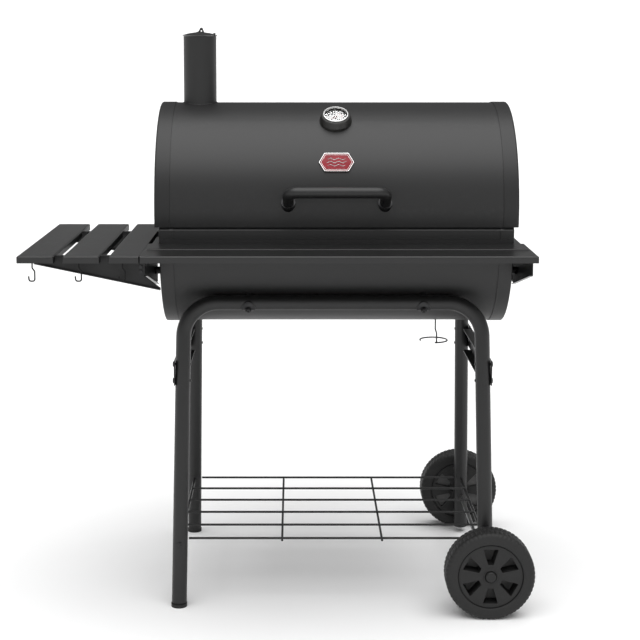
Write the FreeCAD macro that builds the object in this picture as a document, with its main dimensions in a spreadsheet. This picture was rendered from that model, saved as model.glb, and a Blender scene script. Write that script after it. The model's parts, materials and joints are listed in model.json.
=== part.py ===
import FreeCAD, Part
import math
import os
import re
import Sketcher
from FreeCAD import Placement, Rotation, Vector

# Barrel charcoal grill on two leaning leg frames, with a chimney on the hood, a front shelf and a slatted side shelf.
# +X is to the right of a person at the front shelf, +Y to the back and +Z up. Lengths are millimetres.
# Every sub-part is drawn in the grill frame: X = 0 is the barrel's middle, Y = 0 its axis and Z = 0 the floor.
# The Placement of each sub-part then moves it so that the origin is the middle of the whole grill's footprint.

DIMENSIONS = {
    "sheet": 1.5,                # rolled and folded steel sheet
    "fit_gap": 0.1,              # between nested sheets
    "run_gap": 0.05,             # radial running clearance of pins
    "drill_gap": 0.25,           # radial clearance of drilled holes
    # barrel
    "body_radius": 224,
    "body_axis_z": 822,
    "body_half": 383,
    "body_rim_z": 857,
    "joggle": 5,
    "joggle_low_z": 832,
    "joggle_top_z": 838,
    "body_band": 30,
    "cap_round": 2.5,
    "drain_radius": 6,
    # hood
    "hood_radius": 227.25,
    "hood_axis_z": 871.3,
    "hood_half": 392.6,
    "hood_front_z": 838.7,
    "hood_rear_z": 850,
    "hood_band": 33,
    "hood_step_y": 205,
    "open_chimney": 36,
    # hinges at the back
    "hinge_x": 240,
    "hinge_y": 238.5,
    "hinge_z": 848,
    "hinge_pin_radius": 2.5,
    "knuckle_radius": 5.5,
    "hinge_half_width": 25,
    "knuckle_half_width": 8.5,
    # handle
    "handle_radius": 12,
    "handle_half": 104,
    "handle_reach": 55.3,
    "handle_bend": 20,
    "handle_foot_y": -226.7,
    "handle_foot_z": 889.5,
    "handle_tilt": 148,
    "handle_start": 8,
    "handle_spacer_radius": 15,
    "screw_radius": 3,
    # chimney
    "chimney_x": -305.5,
    "chimney_y": -5,
    "chimney_radius": 37.2,
    "chimney_top_z": 1249.1,
    "chimney_bottom_z": 1078,
    "chimney_cap_radius": 39.6,
    "chimney_cap_z": 1249.6,
    "cap_crown": 6.4,
    "cap_pin_offset": 33,
    "cap_pin_radius": 2,
    "cap_pin_head": 1.2,
    "cap_ear": 8,
    "cap_tab_x": -302.1,
    "cap_tab_top_z": 1267.7,
    "cap_tab_radius": 4,
    "cap_tab_bore": 1.7,
    # thermometer
    "gauge_tilt": 33,
    "gauge_base_radius": 35.6,
    "gauge_top_radius": 31,
    "gauge_height": 17,
    "gauge_well_radius": 26,
    "gauge_floor": 4,
    "bezel_radius": 28,
    "bezel_bore": 24.5,
    "bezel_height": 3.6,
    "dial_height": 8,
    "lens_height": 14.6,
    "needle_height": 10.2,
    "needle_length": 18,
    "needle_pin_radius": 1,
    "probe_length": 60,
    # badge
    "badge_tilt": 62.4,
    "badge_half_width": 38,
    "badge_half_height": 22,
    "badge_thickness": 4,
    # grates
    "ledge_z": 824,
    "ledge_y": 221.6,
    "ledge_width": 18,
    "ledge_drop": 16,
    "grate_rest": 0.3,
    "grate_width": 252.5,
    "grate_half_depth": 216,
    "grate_thickness": 9,
    "grate_border": 9,
    "grate_slot": 9,
    "grate_pitch": 14.65,
    "coal_z": 700,
    "coal_half_length": 372,
    "coal_half_depth": 176,
    "coal_thickness": 5,
    "coal_border": 12,
    "coal_slot": 14,
    "coal_pitch": 20.2,
    "coal_ledge_half": 120,
    # air damper on the right end
    "damper_z": 662,
    "damper_radius": 38,
    "damper_hole_radius": 8.5,
    "damper_hole_circle": 24,
    "damper_rivet_radius": 4,
    # shelves
    "shelf_top_z": 803.7,
    "shelf_drop": 14.4,
    "shelf_front_y": -414.2,
    "front_shelf_back_y": -225.6,
    "front_shelf_half": 405.5,
    "shelf_round": 3.5,
    "bead_y": -316,
    "bead_half": 5,
    "bead_height": 1.6,
    "shelf_flange": 8,
    "stud_radius": 2,
    "stud_nut": 3,
    "slat_left": -654.6,
    "slat_back_y": 118.6,
    "slat_width": 75.2,
    "slat_pitch": 93.3,
    "last_slat_right": -406,
    # shelf brackets and side arms
    "bracket_gap": 0.3,
    "bracket_stand_off": 14,     # its web stands this far off the barrel's end
    "bracket_lip": 12,
    "bracket_low_lip": 6,
    "bracket_flange": 13,        # folded outwards behind the front arm
    "bracket_back_y": -104,
    "bracket_knee_y": -146,
    "bracket_front_y": -381,
    "bracket_low_z": 702.5,
    "bracket_front_z": 758,
    "boss_radius": 8,
    "arm_front_y": -381.2,
    "arm_rear_y": -3,
    "arm_left": -623,
    "arm_lip": 9,
    "arm_tip": 18,
    "arm_end": 4,
    "arm_low_z": 730,
    "arm_tail_x": -365.4,
    "arm_notch_x": -398.6,
    "arm_notch_z": 759.5,
    # hooks under the side shelf
    "hook_y": -407.5,
    "hook_pin_z": 796,
    "hook_wire": 1.5,
    "hook_pin_radius": 2,
    "hook_drop": 38,
    "hook_shift_1": 6.5,         # each peg is this far left of its slat's middle
    "hook_shift_2": 5,
    "hook_shift_3": 3,
    # leg frames
    "tube_radius": 16.5,
    "tube_wall": 1.6,
    "frame_x": -6.5,
    "foot_half": 338.5,
    "leg_splay": 1.05,
    "leg_lean": 5.05,
    "bar_y": 187.5,
    "bar_z": 668,
    "leg_bend": 76,
    "left_leg_gap": 9,
    "right_leg_gap": 15,
    "plug_height": 22,
    # bolts between tube and barrel
    "barrel_bolt_x": 191.5,
    "barrel_bolt_angle": 129.4,
    "barrel_bolt_radius": 3.5,
    "spacer_radius": 11,
    "saddle_radius": 15,
    "saddle_sheet": 2,
    # braces between front and rear legs
    "brace_low_z": 488,
    "brace_top_z": 542,
    "brace_half": 215,
    "brace_sheet": 2,
    "brace_lip": 21,
    "brace_lip_half": 150,
    "brace_bolt_low_z": 497,
    "brace_bolt_top_z": 533,
    "bolt_radius": 3,
    "bolt_head_radius": 6,
    "bolt_head": 3.5,
    # wire rack
    "rack_z": 146.2,
    "rack_wire": 2.5,
    "rack_overlap": 0.4,
    "rack_outer_y": 223.7,
    "rack_pitch": 89.5,
    "rack_cross_left": -118,
    "rack_cross_right": 103,
    # axle and wheels
    "axle_radius": 4.8,
    "wheel_radius": 96.5,
    "wheel_y": 302,
    "wheel_half": 28.5,
    "web_half": 25,
    "rim_inner": 66,
    "rim_outer": 74,
    "tyre_round": 9,
    "hub_radius": 17,
    "hub_inner": 44,
    "hub_outer": 22,
    "hub_recess": 13,
    "hub_ring": 15.7,
    "hub_ring_height": 1.5,
    "window_depth": 34,          # from the outer face
    "window_back_depth": 8,      # from the inner face
    "window_in": 26,
    "window_out": 60,
    "window_in_half": 5.4,
    "window_out_half": 16.2,
    "hub_cap_radius": 11.8,
    "hub_cap_height": 10,
    "hub_cap_round": 4,
    # wire ring for a grease can
    "ring_x": 233.5,
    "ring_z": 545.7,
    "ring_radius": 31.5,
    "ring_wire": 1.6,
    "ring_jog": 4,
}

AXLE_X = "frame_x + foot_half - wheel_radius * tan(leg_splay * 1deg)"
ORIGIN_X = f"-(slat_left + {AXLE_X} + wheel_radius) / 2"
ORIGIN_Y = "-(shelf_front_y + wheel_y + hub_outer + hub_cap_height) / 2"
MOST_FILES = 60

doc = FreeCAD.newDocument("BarrelGrill")
dimensions = doc.addObject("Spreadsheet::Sheet", "Dimensions")
for row, (alias, value) in enumerate(DIMENSIONS.items(), start=1):
    dimensions.set(f"A{row}", alias)
    dimensions.set(f"B{row}", str(value))
    dimensions.setAlias(f"B{row}", alias)
doc.recompute()

subparts = []
places = {}


# ---- helpers: expressions --------------------------------------------------------------------------------

def expression(text):
    """The FreeCAD expression for a formula such as 'hood_radius - 2 * sheet'."""

    def reading(word):
        return "Dimensions." + word.group() if word.group() in DIMENSIONS else word.group()

    return re.sub(r"[A-Za-z_]\w*", reading, str(text))


def size(text):
    """The present value of a formula, for the first placing of what its expression then drives."""
    return float(dimensions.evalExpression(expression(text)))


def bind(item, path, text):
    item.setExpression(path, expression(text))


def move(item, x="0", y="0", z="0", about=None, angle="0"):
    """Binds an object's Placement: a turn by angle about a row axis through its own origin, then the shift."""
    turn = Rotation(Vector(*about), size(angle)) if about else Rotation()
    item.Placement = Placement(Vector(size(x), size(y), size(z)), turn)
    places[item.Name] = (x, y)
    for letter, text in (("x", x), ("y", y), ("z", z)):
        bind(item, f"Placement.Base.{letter}", text)
    if about:
        bind(item, "Placement.Rotation.Angle", angle)
    return item


def subpart(item, label):
    """Names a finished sub-part and shifts it from the grill frame to the footprint's middle."""
    item.Label = label
    x, y = places.get(item.Name, ("0", "0"))
    bind(item, "Placement.Base.x", f"({x}) + ({ORIGIN_X})")
    bind(item, "Placement.Base.y", f"({y}) + ({ORIGIN_Y})")
    subparts.append(item)
    return item


# ---- helpers: primitives and booleans --------------------------------------------------------------------

X_TURN = ((0, 1, 0), "90")
Y_TURN = ((1, 0, 0), "-90")
Z_TURN = (None, "0")
TURNS = {"X": X_TURN, "Y": Y_TURN, "Z": Z_TURN}


def box(name, low, high):
    """A box between two corners, each three formulas."""
    item = doc.addObject("Part::Box", name)
    for side, start, end in zip(("Length", "Width", "Height"), low, high):
        bind(item, side, f"({end}) - ({start})")
    return move(item, *low)


def rod(name, radius, start, length, along="Z"):
    """A cylinder from a start point, three formulas, along a row axis."""
    item = doc.addObject("Part::Cylinder", name)
    bind(item, "Radius", radius)
    bind(item, "Height", length)
    about, angle = TURNS[along]
    return move(item, *start, about=about, angle=angle)


def radial_rod(name, radius, start, end, x, axis_z, tilt):
    """A cylinder that stands on a barrel's axis line and spans two distances from it, tilted forward from +Z."""
    item = doc.addObject("Part::Cylinder", name)
    bind(item, "Radius", radius)
    bind(item, "Height", f"({end}) - ({start})")
    along = f"(({tilt}) * 1deg)"
    return move(item, x, f"-({start}) * sin({along})", f"({axis_z}) + ({start}) * cos({along})", (1, 0, 0), tilt)


def fuse(name, pieces):
    item = doc.addObject("Part::MultiFuse", name)
    item.Shapes = pieces
    return item


def group(name, pieces):
    """Identical pieces that stay separate solids."""
    item = doc.addObject("Part::Compound", name)
    item.Links = pieces
    return item


def cut(name, base, tools):
    item = doc.addObject("Part::Cut", name)
    item.Base = base
    item.Tool = tools[0] if len(tools) == 1 else fuse(name + "Tools", tools)
    return item


def common(name, first, second):
    item = doc.addObject("Part::Common", name)
    item.Base = first
    item.Tool = second
    return item


# ---- helpers: PartDesign bodies --------------------------------------------------------------------------

def new_body(name):
    return doc.addObject("PartDesign::Body", name)


def sketch_on(body, name, plane, offset="0"):
    """A sketch on one of the body's origin planes, moved along the plane's normal."""
    support = [feature for feature in body.Origin.OriginFeatures if feature.Role == plane][0]
    sketch = body.newObject("Sketcher::SketchObject", name)
    sketch.AttachmentSupport = [(support, "")]
    sketch.MapMode = "FlatFace"
    sketch.AttachmentOffset = Placement(Vector(0, 0, size(offset)), Rotation())
    bind(sketch, "AttachmentOffset.Base.z", offset)
    return sketch


def fix(sketch, kind, geometry, point, text, name):
    """A coordinate of a sketch point, bound to a formula."""
    number = sketch.addConstraint(Sketcher.Constraint(kind, geometry, point, size(text)))
    sketch.renameConstraint(number, name)
    bind(sketch, f"Constraints.{name}", text)


def arc_between(start, end, radius, turn):
    """The shorter arc between two points, counter-clockwise ("ccw") or clockwise ("cw")."""
    if turn == "cw":
        start, end = end, start
    chord = end - start
    rise = math.sqrt(max(radius ** 2 - chord.Length ** 2 / 4, 0))
    side = Vector(-chord.y, chord.x, 0).normalize()
    centre = (start + end) / 2 + side * rise
    angles = [math.atan2(point.y - centre.y, point.x - centre.x) for point in (start, end)]
    if angles[1] < angles[0]:
        angles[1] += 2 * math.pi
    return Part.ArcOfCircle(Part.Circle(centre, Vector(0, 0, 1), radius), *angles)


def outline(sketch, corners):
    """A closed outline through corners (x, y), or (x, y, turn, radius) where an arc runs on to the next corner."""
    points = [Vector(size(corner[0]), size(corner[1]), 0) for corner in corners]
    count, first = len(corners), sketch.GeometryCount
    ends = []
    for index, corner in enumerate(corners):
        start, end = points[index], points[(index + 1) % count]
        if len(corner) == 2:
            sketch.addGeometry(Part.LineSegment(start, end), False)
            ends.append((1, 2))
        else:
            turn, radius = corner[2:]
            number = sketch.addGeometry(arc_between(start, end, size(radius), turn), False)
            ends.append((1, 2) if turn == "ccw" else (2, 1))
            limit = sketch.addConstraint(Sketcher.Constraint("Radius", number, size(radius)))
            sketch.renameConstraint(limit, f"radius{number}")
            bind(sketch, f"Constraints.radius{number}", radius)
    for index, corner in enumerate(corners):
        here, after = first + index, first + (index + 1) % count
        end_point, next_start = ends[index][1], ends[(index + 1) % count][0]
        sketch.addConstraint(Sketcher.Constraint("Coincident", here, end_point, after, next_start))
        fix(sketch, "DistanceX", here, ends[index][0], corner[0], f"across{here}")
        fix(sketch, "DistanceY", here, ends[index][0], corner[1], f"up{here}")
    return sketch


def circle(sketch, x, y, radius):
    """A full circle whose centre and radius are formulas."""
    place = Vector(size(x), size(y), 0)
    number = sketch.addGeometry(Part.Circle(place, Vector(0, 0, 1), size(radius)), False)
    fix(sketch, "DistanceX", number, 3, x, f"across{number}")
    fix(sketch, "DistanceY", number, 3, y, f"up{number}")
    limit = sketch.addConstraint(Sketcher.Constraint("Radius", number, size(radius)))
    sketch.renameConstraint(limit, f"radius{number}")
    bind(sketch, f"Constraints.radius{number}", radius)
    return sketch


def rectangle(sketch, left, low, right, high):
    return outline(sketch, [(left, low), (right, low), (right, high), (left, high)])


def pad(body, sketch, length, reverse=False, symmetric=False):
    feature = body.newObject("PartDesign::Pad", sketch.Name + "Pad")
    feature.Profile = sketch
    feature.SideType = "Symmetric" if symmetric else "One side"
    feature.Reversed = reverse
    bind(feature, "Length", length)
    doc.recompute()
    return feature


def pocket(body, sketch, length, reverse=False):
    """A pocket, which has to take material away."""
    before = body.Shape.Volume
    feature = body.newObject("PartDesign::Pocket", sketch.Name + "Pocket")
    feature.Profile = sketch
    feature.Reversed = reverse
    bind(feature, "Length", length)
    doc.recompute()
    if body.Shape.Volume > before - 1:
        raise ValueError(f"{feature.Name} takes nothing away")
    return feature


def revolve(body, sketch, axis="V_Axis"):
    feature = body.newObject("PartDesign::Revolution", sketch.Name + "Turned")
    feature.Profile = sketch
    feature.ReferenceAxis = (sketch, [axis])
    feature.Angle = 360
    doc.recompute()
    return feature


def pattern_row(body, feature, sketch, count, length):
    """Repeats a feature along its sketch's horizontal axis."""
    row_of = body.newObject("PartDesign::LinearPattern", feature.Name + "Row")
    row_of.Originals = [feature]
    row_of.Direction = (sketch, ["H_Axis"])
    row_of.Occurrences = count
    bind(row_of, "Length", length)
    body.Tip = row_of
    doc.recompute()
    return row_of


def pattern_round(body, feature, sketch, count):
    """Repeats a feature evenly about its sketch's normal axis."""
    ring_of = body.newObject("PartDesign::PolarPattern", feature.Name + "Ring")
    ring_of.Originals = [feature]
    ring_of.Axis = (sketch, ["N_Axis"])
    ring_of.Angle = 360
    ring_of.Occurrences = count
    body.Tip = ring_of
    doc.recompute()
    return ring_of


def edge_names(shape, wanted):
    """The names of the edges that a test picks by the edge itself."""
    return [f"Edge{number}" for number, edge in enumerate(shape.Edges, start=1) if wanted(edge)]


def round_edges(body, wanted, radius):
    """Fillets the edges of the body's tip that a test picks."""
    base = body.Tip
    feature = body.newObject("PartDesign::Fillet", base.Name + "Round")
    feature.Base = (base, edge_names(base.Shape, wanted))
    bind(feature, "Radius", radius)
    doc.recompute()
    return feature


def hollow(body, wanted, thickness):
    """Turns the body's tip into a folded pan: the faces that a test picks are left open."""
    base = body.Tip
    feature = body.newObject("PartDesign::Thickness", base.Name + "Hollow")
    faces = [f"Face{number}" for number, face in enumerate(base.Shape.Faces, start=1) if wanted(face)]
    feature.Base = (base, faces)
    feature.Reversed = True
    bind(feature, "Value", thickness)
    doc.recompute()
    return feature


def near(value, text):
    return abs(value - size(text)) < 0.01


# ---- lower barrel ----------------------------------------------------------------------------------------

def trough(grow, top):
    """The lower barrel's section, grown outwards by a formula and closed at a height: a U whose walls step inwards."""
    wide, narrow = f"body_radius + {grow}", f"body_radius - joggle + {grow}"
    return [
        (f"-({narrow})", top),
        (f"-({narrow})", "joggle_top_z"),
        (f"-({wide})", "joggle_low_z"),
        (f"-({wide})", "body_axis_z", "ccw", wide),
        ("0", f"body_axis_z - ({wide})", "ccw", wide),
        (wide, "body_axis_z"),
        (wide, "joggle_low_z"),
        (narrow, "joggle_top_z"),
        (narrow, top),
    ]


def thin_trough(thickness):
    """The rolled sheet's own section: the outer line and back along the inner one."""
    inner = trough(f"(-{thickness})", "body_rim_z")
    back = []
    for index in range(len(inner) - 1, -1, -1):
        x, z = inner[index][:2]
        before = inner[index - 1]
        back.append((x, z, "cw", before[3]) if index and len(before) == 4 else (x, z))
    return trough("0", "body_rim_z") + back


RING_STEM_Y = "-sqrt(ring_radius^2 - ring_jog^2)"


def make_body_shell():
    body = new_body("BodyShell")
    section = outline(sketch_on(body, "BodySection", "YZ_Plane"), thin_trough("sheet"))
    pad(body, section, "2 * (body_half - sheet)", symmetric=True)
    holes = [rod("DrainHole", "drain_radius", ("ring_x", "0", "body_axis_z - body_radius - 10"), "30")]
    stem_hole = ("ring_x + ring_jog * 0.2", RING_STEM_Y, "body_axis_z - body_radius - 10")
    holes.append(rod("RingHole", "ring_wire + run_gap", stem_hole, "30"))
    holes += barrel_bolt_holes("Body")
    subpart(cut("BodyDrilled", body, holes), "body_shell")


def make_body_cap(label, side):
    """A pressed end: a plate with a flange that sleeves over the end of the rolled sheet."""
    right = side > 0
    body = new_body("BodyCap" + ("Right" if right else "Left"))
    face, inside = ("body_half", "body_half - sheet") if right else ("-body_half", "sheet - body_half")
    plate = outline(sketch_on(body, body.Name + "Outer", "YZ_Plane", face), trough("fit_gap + sheet", "body_rim_z"))
    pad(body, plate, "body_band", reverse=right)
    outer_edge = lambda edge: near(edge.BoundBox.XMin, face) and near(edge.BoundBox.XMax, face)
    round_edges(body, lambda edge: outer_edge(edge) and edge.BoundBox.ZMin < size("body_rim_z") - 1, "cap_round")
    hollow_line = trough("fit_gap", "body_rim_z + 1")
    well = outline(sketch_on(body, body.Name + "Inner", "YZ_Plane", inside), hollow_line)
    pocket(body, well, "body_band", reverse=not right)
    holes = bracket_bolt_holes(body.Name, side)
    if right:
        rivet = rod("DamperRivet", "damper_rivet_radius", ("body_half - 1", "0", "damper_z"), "5", "X")
        head = rod("DamperRivetHead", "damper_rivet_radius + 3", ("body_half + 2.6", "0", "damper_z"), "1.6", "X")
        vents = damper_vents("CapVent", "body_half - 5", "8")
        body = cut("BodyCapVented", body, vents)
        body = fuse("BodyCapRiveted", [body, rivet, head])
    else:
        holes += arm_flange_holes("CapLeft")
    subpart(cut("BodyCapDrilled" + ("Right" if right else "Left"), body, holes), label)


def damper_vents(name, start, length):
    """Four round vents on a circle about the damper's rivet."""
    vents = []
    for number in range(4):
        across = f"damper_hole_circle * {(1, 0, -1, 0)[number]}"
        up = f"damper_z + damper_hole_circle * {(0, 1, 0, -1)[number]}"
        vents.append(rod(f"{name}{number}", "damper_hole_radius", (start, across, up), length, "X"))
    return vents


def make_damper():
    disc = rod("DamperDisc", "damper_radius", ("body_half + 0.5", "0", "damper_z"), "1.5", "X")
    tab = box("DamperTab", ("body_half + 0.5", "-damper_radius - 4", "damper_z - 7"),
              ("body_half + 13", "-damper_radius + 2", "damper_z + 7"))
    trim = box("DamperTabTrim", ("body_half + 2", "-damper_radius - 2.5", "damper_z - 8"),
               ("body_half + 14", "-damper_radius + 3", "damper_z + 8"))
    bore = rod("DamperBore", "damper_rivet_radius + run_gap", ("body_half", "0", "damper_z"), "4", "X")
    plate = fuse("DamperPlate", [disc, cut("DamperFold", tab, [trim])])
    subpart(cut("Damper", plate, damper_vents("DiscVent", "body_half", "5") + [bore]), "air_damper")


# ---- grates and their ledges -----------------------------------------------------------------------------

def make_grate_ledges():
    angles = []
    for name, sign in (("Front", -1), ("Rear", 1)):
        ends = sorted((f"{sign} * ledge_y", f"{sign} * (ledge_y - ledge_width)"), key=size)
        flat = box(f"{name}LedgeFlat", ("sheet - body_half + 1", ends[0], "ledge_z - sheet"),
                   ("body_half - sheet - 1", ends[1], "ledge_z"))
        wall = sorted((f"{sign} * ledge_y", f"{sign} * (ledge_y - sheet)"), key=size)
        leg = box(f"{name}LedgeLeg", ("sheet - body_half + 1", wall[0], "ledge_z - ledge_drop"),
                  ("body_half - sheet - 1", wall[1], "ledge_z"))
        angles.append(fuse(f"{name}Ledge", [flat, leg]))
    subpart(group("GrateLedges", angles), "grate_ledges")


def grate_plate(name, half_length, half_depth, border, slot, pitch, thickness, count):
    """A slotted plate about its own middle: one slot across the depth, repeated along the length."""
    body = new_body(name)
    plate = rectangle(sketch_on(body, name + "Plate", "XY_Plane"),
                      f"-({half_length})", f"-({half_depth})", half_length, half_depth)
    pad(body, plate, thickness)
    span = f"({pitch}) * {count - 1}"
    cut_line = sketch_on(body, name + "Slot", "XY_Plane")
    middle, far = f"-({span}) / 2", f"{half_depth} - {border}"
    for low, high in ((f"-({far})", f"-({border}) / 2"), (f"{border} / 2", far)):
        rectangle(cut_line, f"{middle} - {slot} / 2", low, f"{middle} + {slot} / 2", high)
    slot_cut = pocket(body, cut_line, thickness, reverse=True)
    pattern_row(body, slot_cut, cut_line, count, span)
    return body


def make_cooking_grates():
    for number in (1, 2, 3):
        body = grate_plate(f"CookingGrate{number}", "grate_width / 2", "grate_half_depth", "grate_border",
                           "grate_slot", "grate_pitch", "grate_thickness", 16)
        move(body, f"(grate_width + 1) * {number - 2}", "0", "ledge_z + grate_rest")
        subpart(body, f"cooking_grate_{number}")


def make_charcoal_grate():
    body = grate_plate("CharcoalGrate", "coal_half_length", "coal_half_depth", "coal_border",
                       "coal_slot", "coal_pitch", "coal_thickness", 36)
    move(body, "0", "0", "coal_z")
    subpart(body, "charcoal_grate")
    ledges = []
    for name, start, end in (("Left", "sheet - body_half", "sheet - body_half + ledge_width"),
                             ("Right", "body_half - sheet - ledge_width", "body_half - sheet")):
        ledges.append(box(f"CoalLedge{name}", (start, "-coal_ledge_half", "coal_z - grate_rest - 3"),
                          (end, "coal_ledge_half", "coal_z - grate_rest")))
    subpart(group("CoalLedges", ledges), "charcoal_grate_ledges")


# ---- hood ------------------------------------------------------------------------------------------------

def chord(radius, height):
    """Half the width of a circle about the hood's axis at a height."""
    return f"sqrt(({radius})^2 - (hood_axis_z - ({height}))^2)"


def make_hood_shell():
    body = new_body("HoodShell")
    outer, inner = "hood_radius", "hood_radius - sheet"
    section = outline(sketch_on(body, "HoodSection", "YZ_Plane"), [
        (chord(outer, "hood_rear_z"), "hood_rear_z", "ccw", outer),
        ("0", f"hood_axis_z + {outer}", "ccw", outer),
        (f"-{chord(outer, 'hood_front_z')}", "hood_front_z"),
        (f"-{chord(inner, 'hood_front_z')}", "hood_front_z", "cw", inner),
        ("0", f"hood_axis_z + {inner}", "cw", inner),
        (chord(inner, "hood_rear_z"), "hood_rear_z"),
    ])
    pad(body, section, "2 * (hood_half - sheet)", symmetric=True)
    holes = [rod("FlueHole", "open_chimney", ("chimney_x", "chimney_y", "hood_axis_z + 150"), "100")]
    holes.append(radial_rod("ProbeHole", "screw_radius + drill_gap", "hood_radius - 20", "hood_radius + 10", "0",
                            "hood_axis_z", "gauge_tilt"))
    holes += handle_screw_holes("Hood")
    subpart(cut("HoodDrilled", body, holes), "hood_shell")


def hood_end_line(grow):
    """The hood end's outline: round above, and a flat lower edge that steps up over the hinges."""
    radius = f"hood_radius + {grow}"
    return [
        (chord(radius, "hood_rear_z"), "hood_rear_z", "ccw", radius),
        ("0", f"hood_axis_z + {radius}", "ccw", radius),
        (f"-{chord(radius, 'hood_front_z')}", "hood_front_z"),
        ("hood_step_y", "hood_front_z"),
        ("hood_step_y + 8", "hood_rear_z"),
    ]


def make_hood_cap(label, side):
    right = side > 0
    body = new_body("HoodCap" + ("Right" if right else "Left"))
    face, inside = ("hood_half", "hood_half - sheet") if right else ("-hood_half", "sheet - hood_half")
    plate = outline(sketch_on(body, body.Name + "Outer", "YZ_Plane", face), hood_end_line("fit_gap + sheet"))
    pad(body, plate, "hood_band", reverse=right)

    def rim(edge):
        in_face = near(edge.BoundBox.XMin, face) and near(edge.BoundBox.XMax, face)
        return in_face and edge.BoundBox.ZMax > size("hood_axis_z")

    round_edges(body, rim, "cap_round * 1.6")
    well = sketch_on(body, body.Name + "Inner", "YZ_Plane", inside)
    radius = "hood_radius + fit_gap"
    outline(well, [
        (radius, "hood_axis_z", "ccw", radius),
        ("0", f"hood_axis_z + {radius}", "ccw", radius),
        (f"-({radius})", "hood_axis_z", "ccw", radius),
        (f"-{chord(radius, 'hood_front_z - 2')}", "hood_front_z - 2"),
        (chord(radius, "hood_front_z - 2"), "hood_front_z - 2", "ccw", radius),
    ])
    pocket(body, well, "hood_band", reverse=not right)
    subpart(body, label)


def tube_section(body, name, radius, x, offset="0", plane="XY_Plane", wall="tube_wall"):
    """Two circles for a hollow tube, on a plane of the body."""
    sketch = sketch_on(body, name, plane, offset)
    circle(sketch, x, "0", radius)
    circle(sketch, x, "0", f"{radius} - {wall}")
    return sketch


def bent_path(sketch, start, end, height, radius, slopes):
    """A path of leg, bend, bar, bend and leg: both ends and the bar's height are formulas, slopes the legs' angles."""
    first, last = Vector(size(start[0]), size(start[1]), 0), Vector(size(end[0]), size(end[1]), 0)
    top, bend = size(height), size(radius)
    rises = [Vector(math.cos(math.radians(size(slope))), math.sin(math.radians(size(slope))), 0) for slope in slopes]
    left_corner = first + rises[0] * ((top - first.y) / rises[0].y)
    right_corner = last + rises[1] * ((top - last.y) / rises[1].y)
    turns = [90 - abs(90 - size(slope)) for slope in slopes]
    reach = [bend * math.tan(math.radians(turn) / 2) for turn in turns]
    along = Vector(1, 0, 0)
    left_leg_end, bar_start = left_corner - rises[0] * reach[0], left_corner + along * reach[0]
    right_leg_end, bar_end = right_corner - rises[1] * reach[1], right_corner - along * reach[1]
    sketch.addGeometry(Part.LineSegment(first, left_leg_end), False)
    sketch.addGeometry(arc_between(left_leg_end, bar_start, bend, "cw"), False)
    sketch.addGeometry(Part.LineSegment(bar_start, bar_end), False)
    sketch.addGeometry(arc_between(bar_end, right_leg_end, bend, "cw"), False)
    sketch.addGeometry(Part.LineSegment(right_leg_end, last), False)
    for joined in ((0, 2, 1, 2), (1, 1, 2, 1), (2, 2, 3, 2), (3, 1, 4, 1)):
        sketch.addConstraint(Sketcher.Constraint("Tangent", *joined))
    sketch.addConstraint(Sketcher.Constraint("Horizontal", 2))
    for number in (1, 3):
        limit = sketch.addConstraint(Sketcher.Constraint("Radius", number, bend))
        sketch.renameConstraint(limit, f"bend{number}")
        bind(sketch, f"Constraints.bend{number}", radius)
    fix(sketch, "DistanceX", 0, 1, start[0], "leftx")
    fix(sketch, "DistanceY", 0, 1, start[1], "lefty")
    fix(sketch, "DistanceX", 4, 2, end[0], "rightx")
    fix(sketch, "DistanceY", 4, 2, end[1], "righty")
    fix(sketch, "DistanceY", 2, 1, height, "top")
    return sketch


def pipe_along(body, section, path):
    feature = body.newObject("PartDesign::AdditivePipe", body.Name + "Pipe")
    feature.Profile = section
    feature.Spine = (path, [f"Edge{number}" for number in range(1, 6)])
    doc.recompute()
    return feature


def make_handle():
    """A bent tube: its plane rises forward from two feet on the hood's front."""
    body = new_body("HoodHandle")
    path = sketch_on(body, "HandlePath", "XY_Plane")
    bent_path(path, ("-handle_half", "handle_start"), ("handle_half", "handle_start"), "handle_reach",
              "handle_bend", ("90", "90"))
    for name, leg in (("Left", 0), ("Right", 4)):
        limit = path.addConstraint(Sketcher.Constraint("Vertical", leg))
        path.renameConstraint(limit, name)
    section = tube_section(body, "HandleSection", "handle_radius", "-handle_half", "-handle_start", "XZ_Plane")
    pipe_along(body, section, path)
    move(body, "0", "handle_foot_y", "handle_foot_z", (1, 0, 0), "handle_tilt")
    subpart(body, "hood_handle")


def handle_rod(name, radius, start, length, sign):
    """A cylinder along the handle's leg direction at one of its feet, from a distance out of the foot point."""
    item = doc.addObject("Part::Cylinder", name)
    bind(item, "Radius", radius)
    bind(item, "Height", length)
    tilt = "(handle_tilt * 1deg)"
    return move(item, f"{sign} * handle_half", f"handle_foot_y + ({start}) * cos({tilt})",
                f"handle_foot_z + ({start}) * sin({tilt})", (1, 0, 0), "handle_tilt - 90")


def handle_screw_holes(name):
    return [handle_rod(f"{name}ScrewHole{sign + 1}", "screw_radius + drill_gap", "-30", "60", sign) for sign in (-1, 1)]


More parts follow.
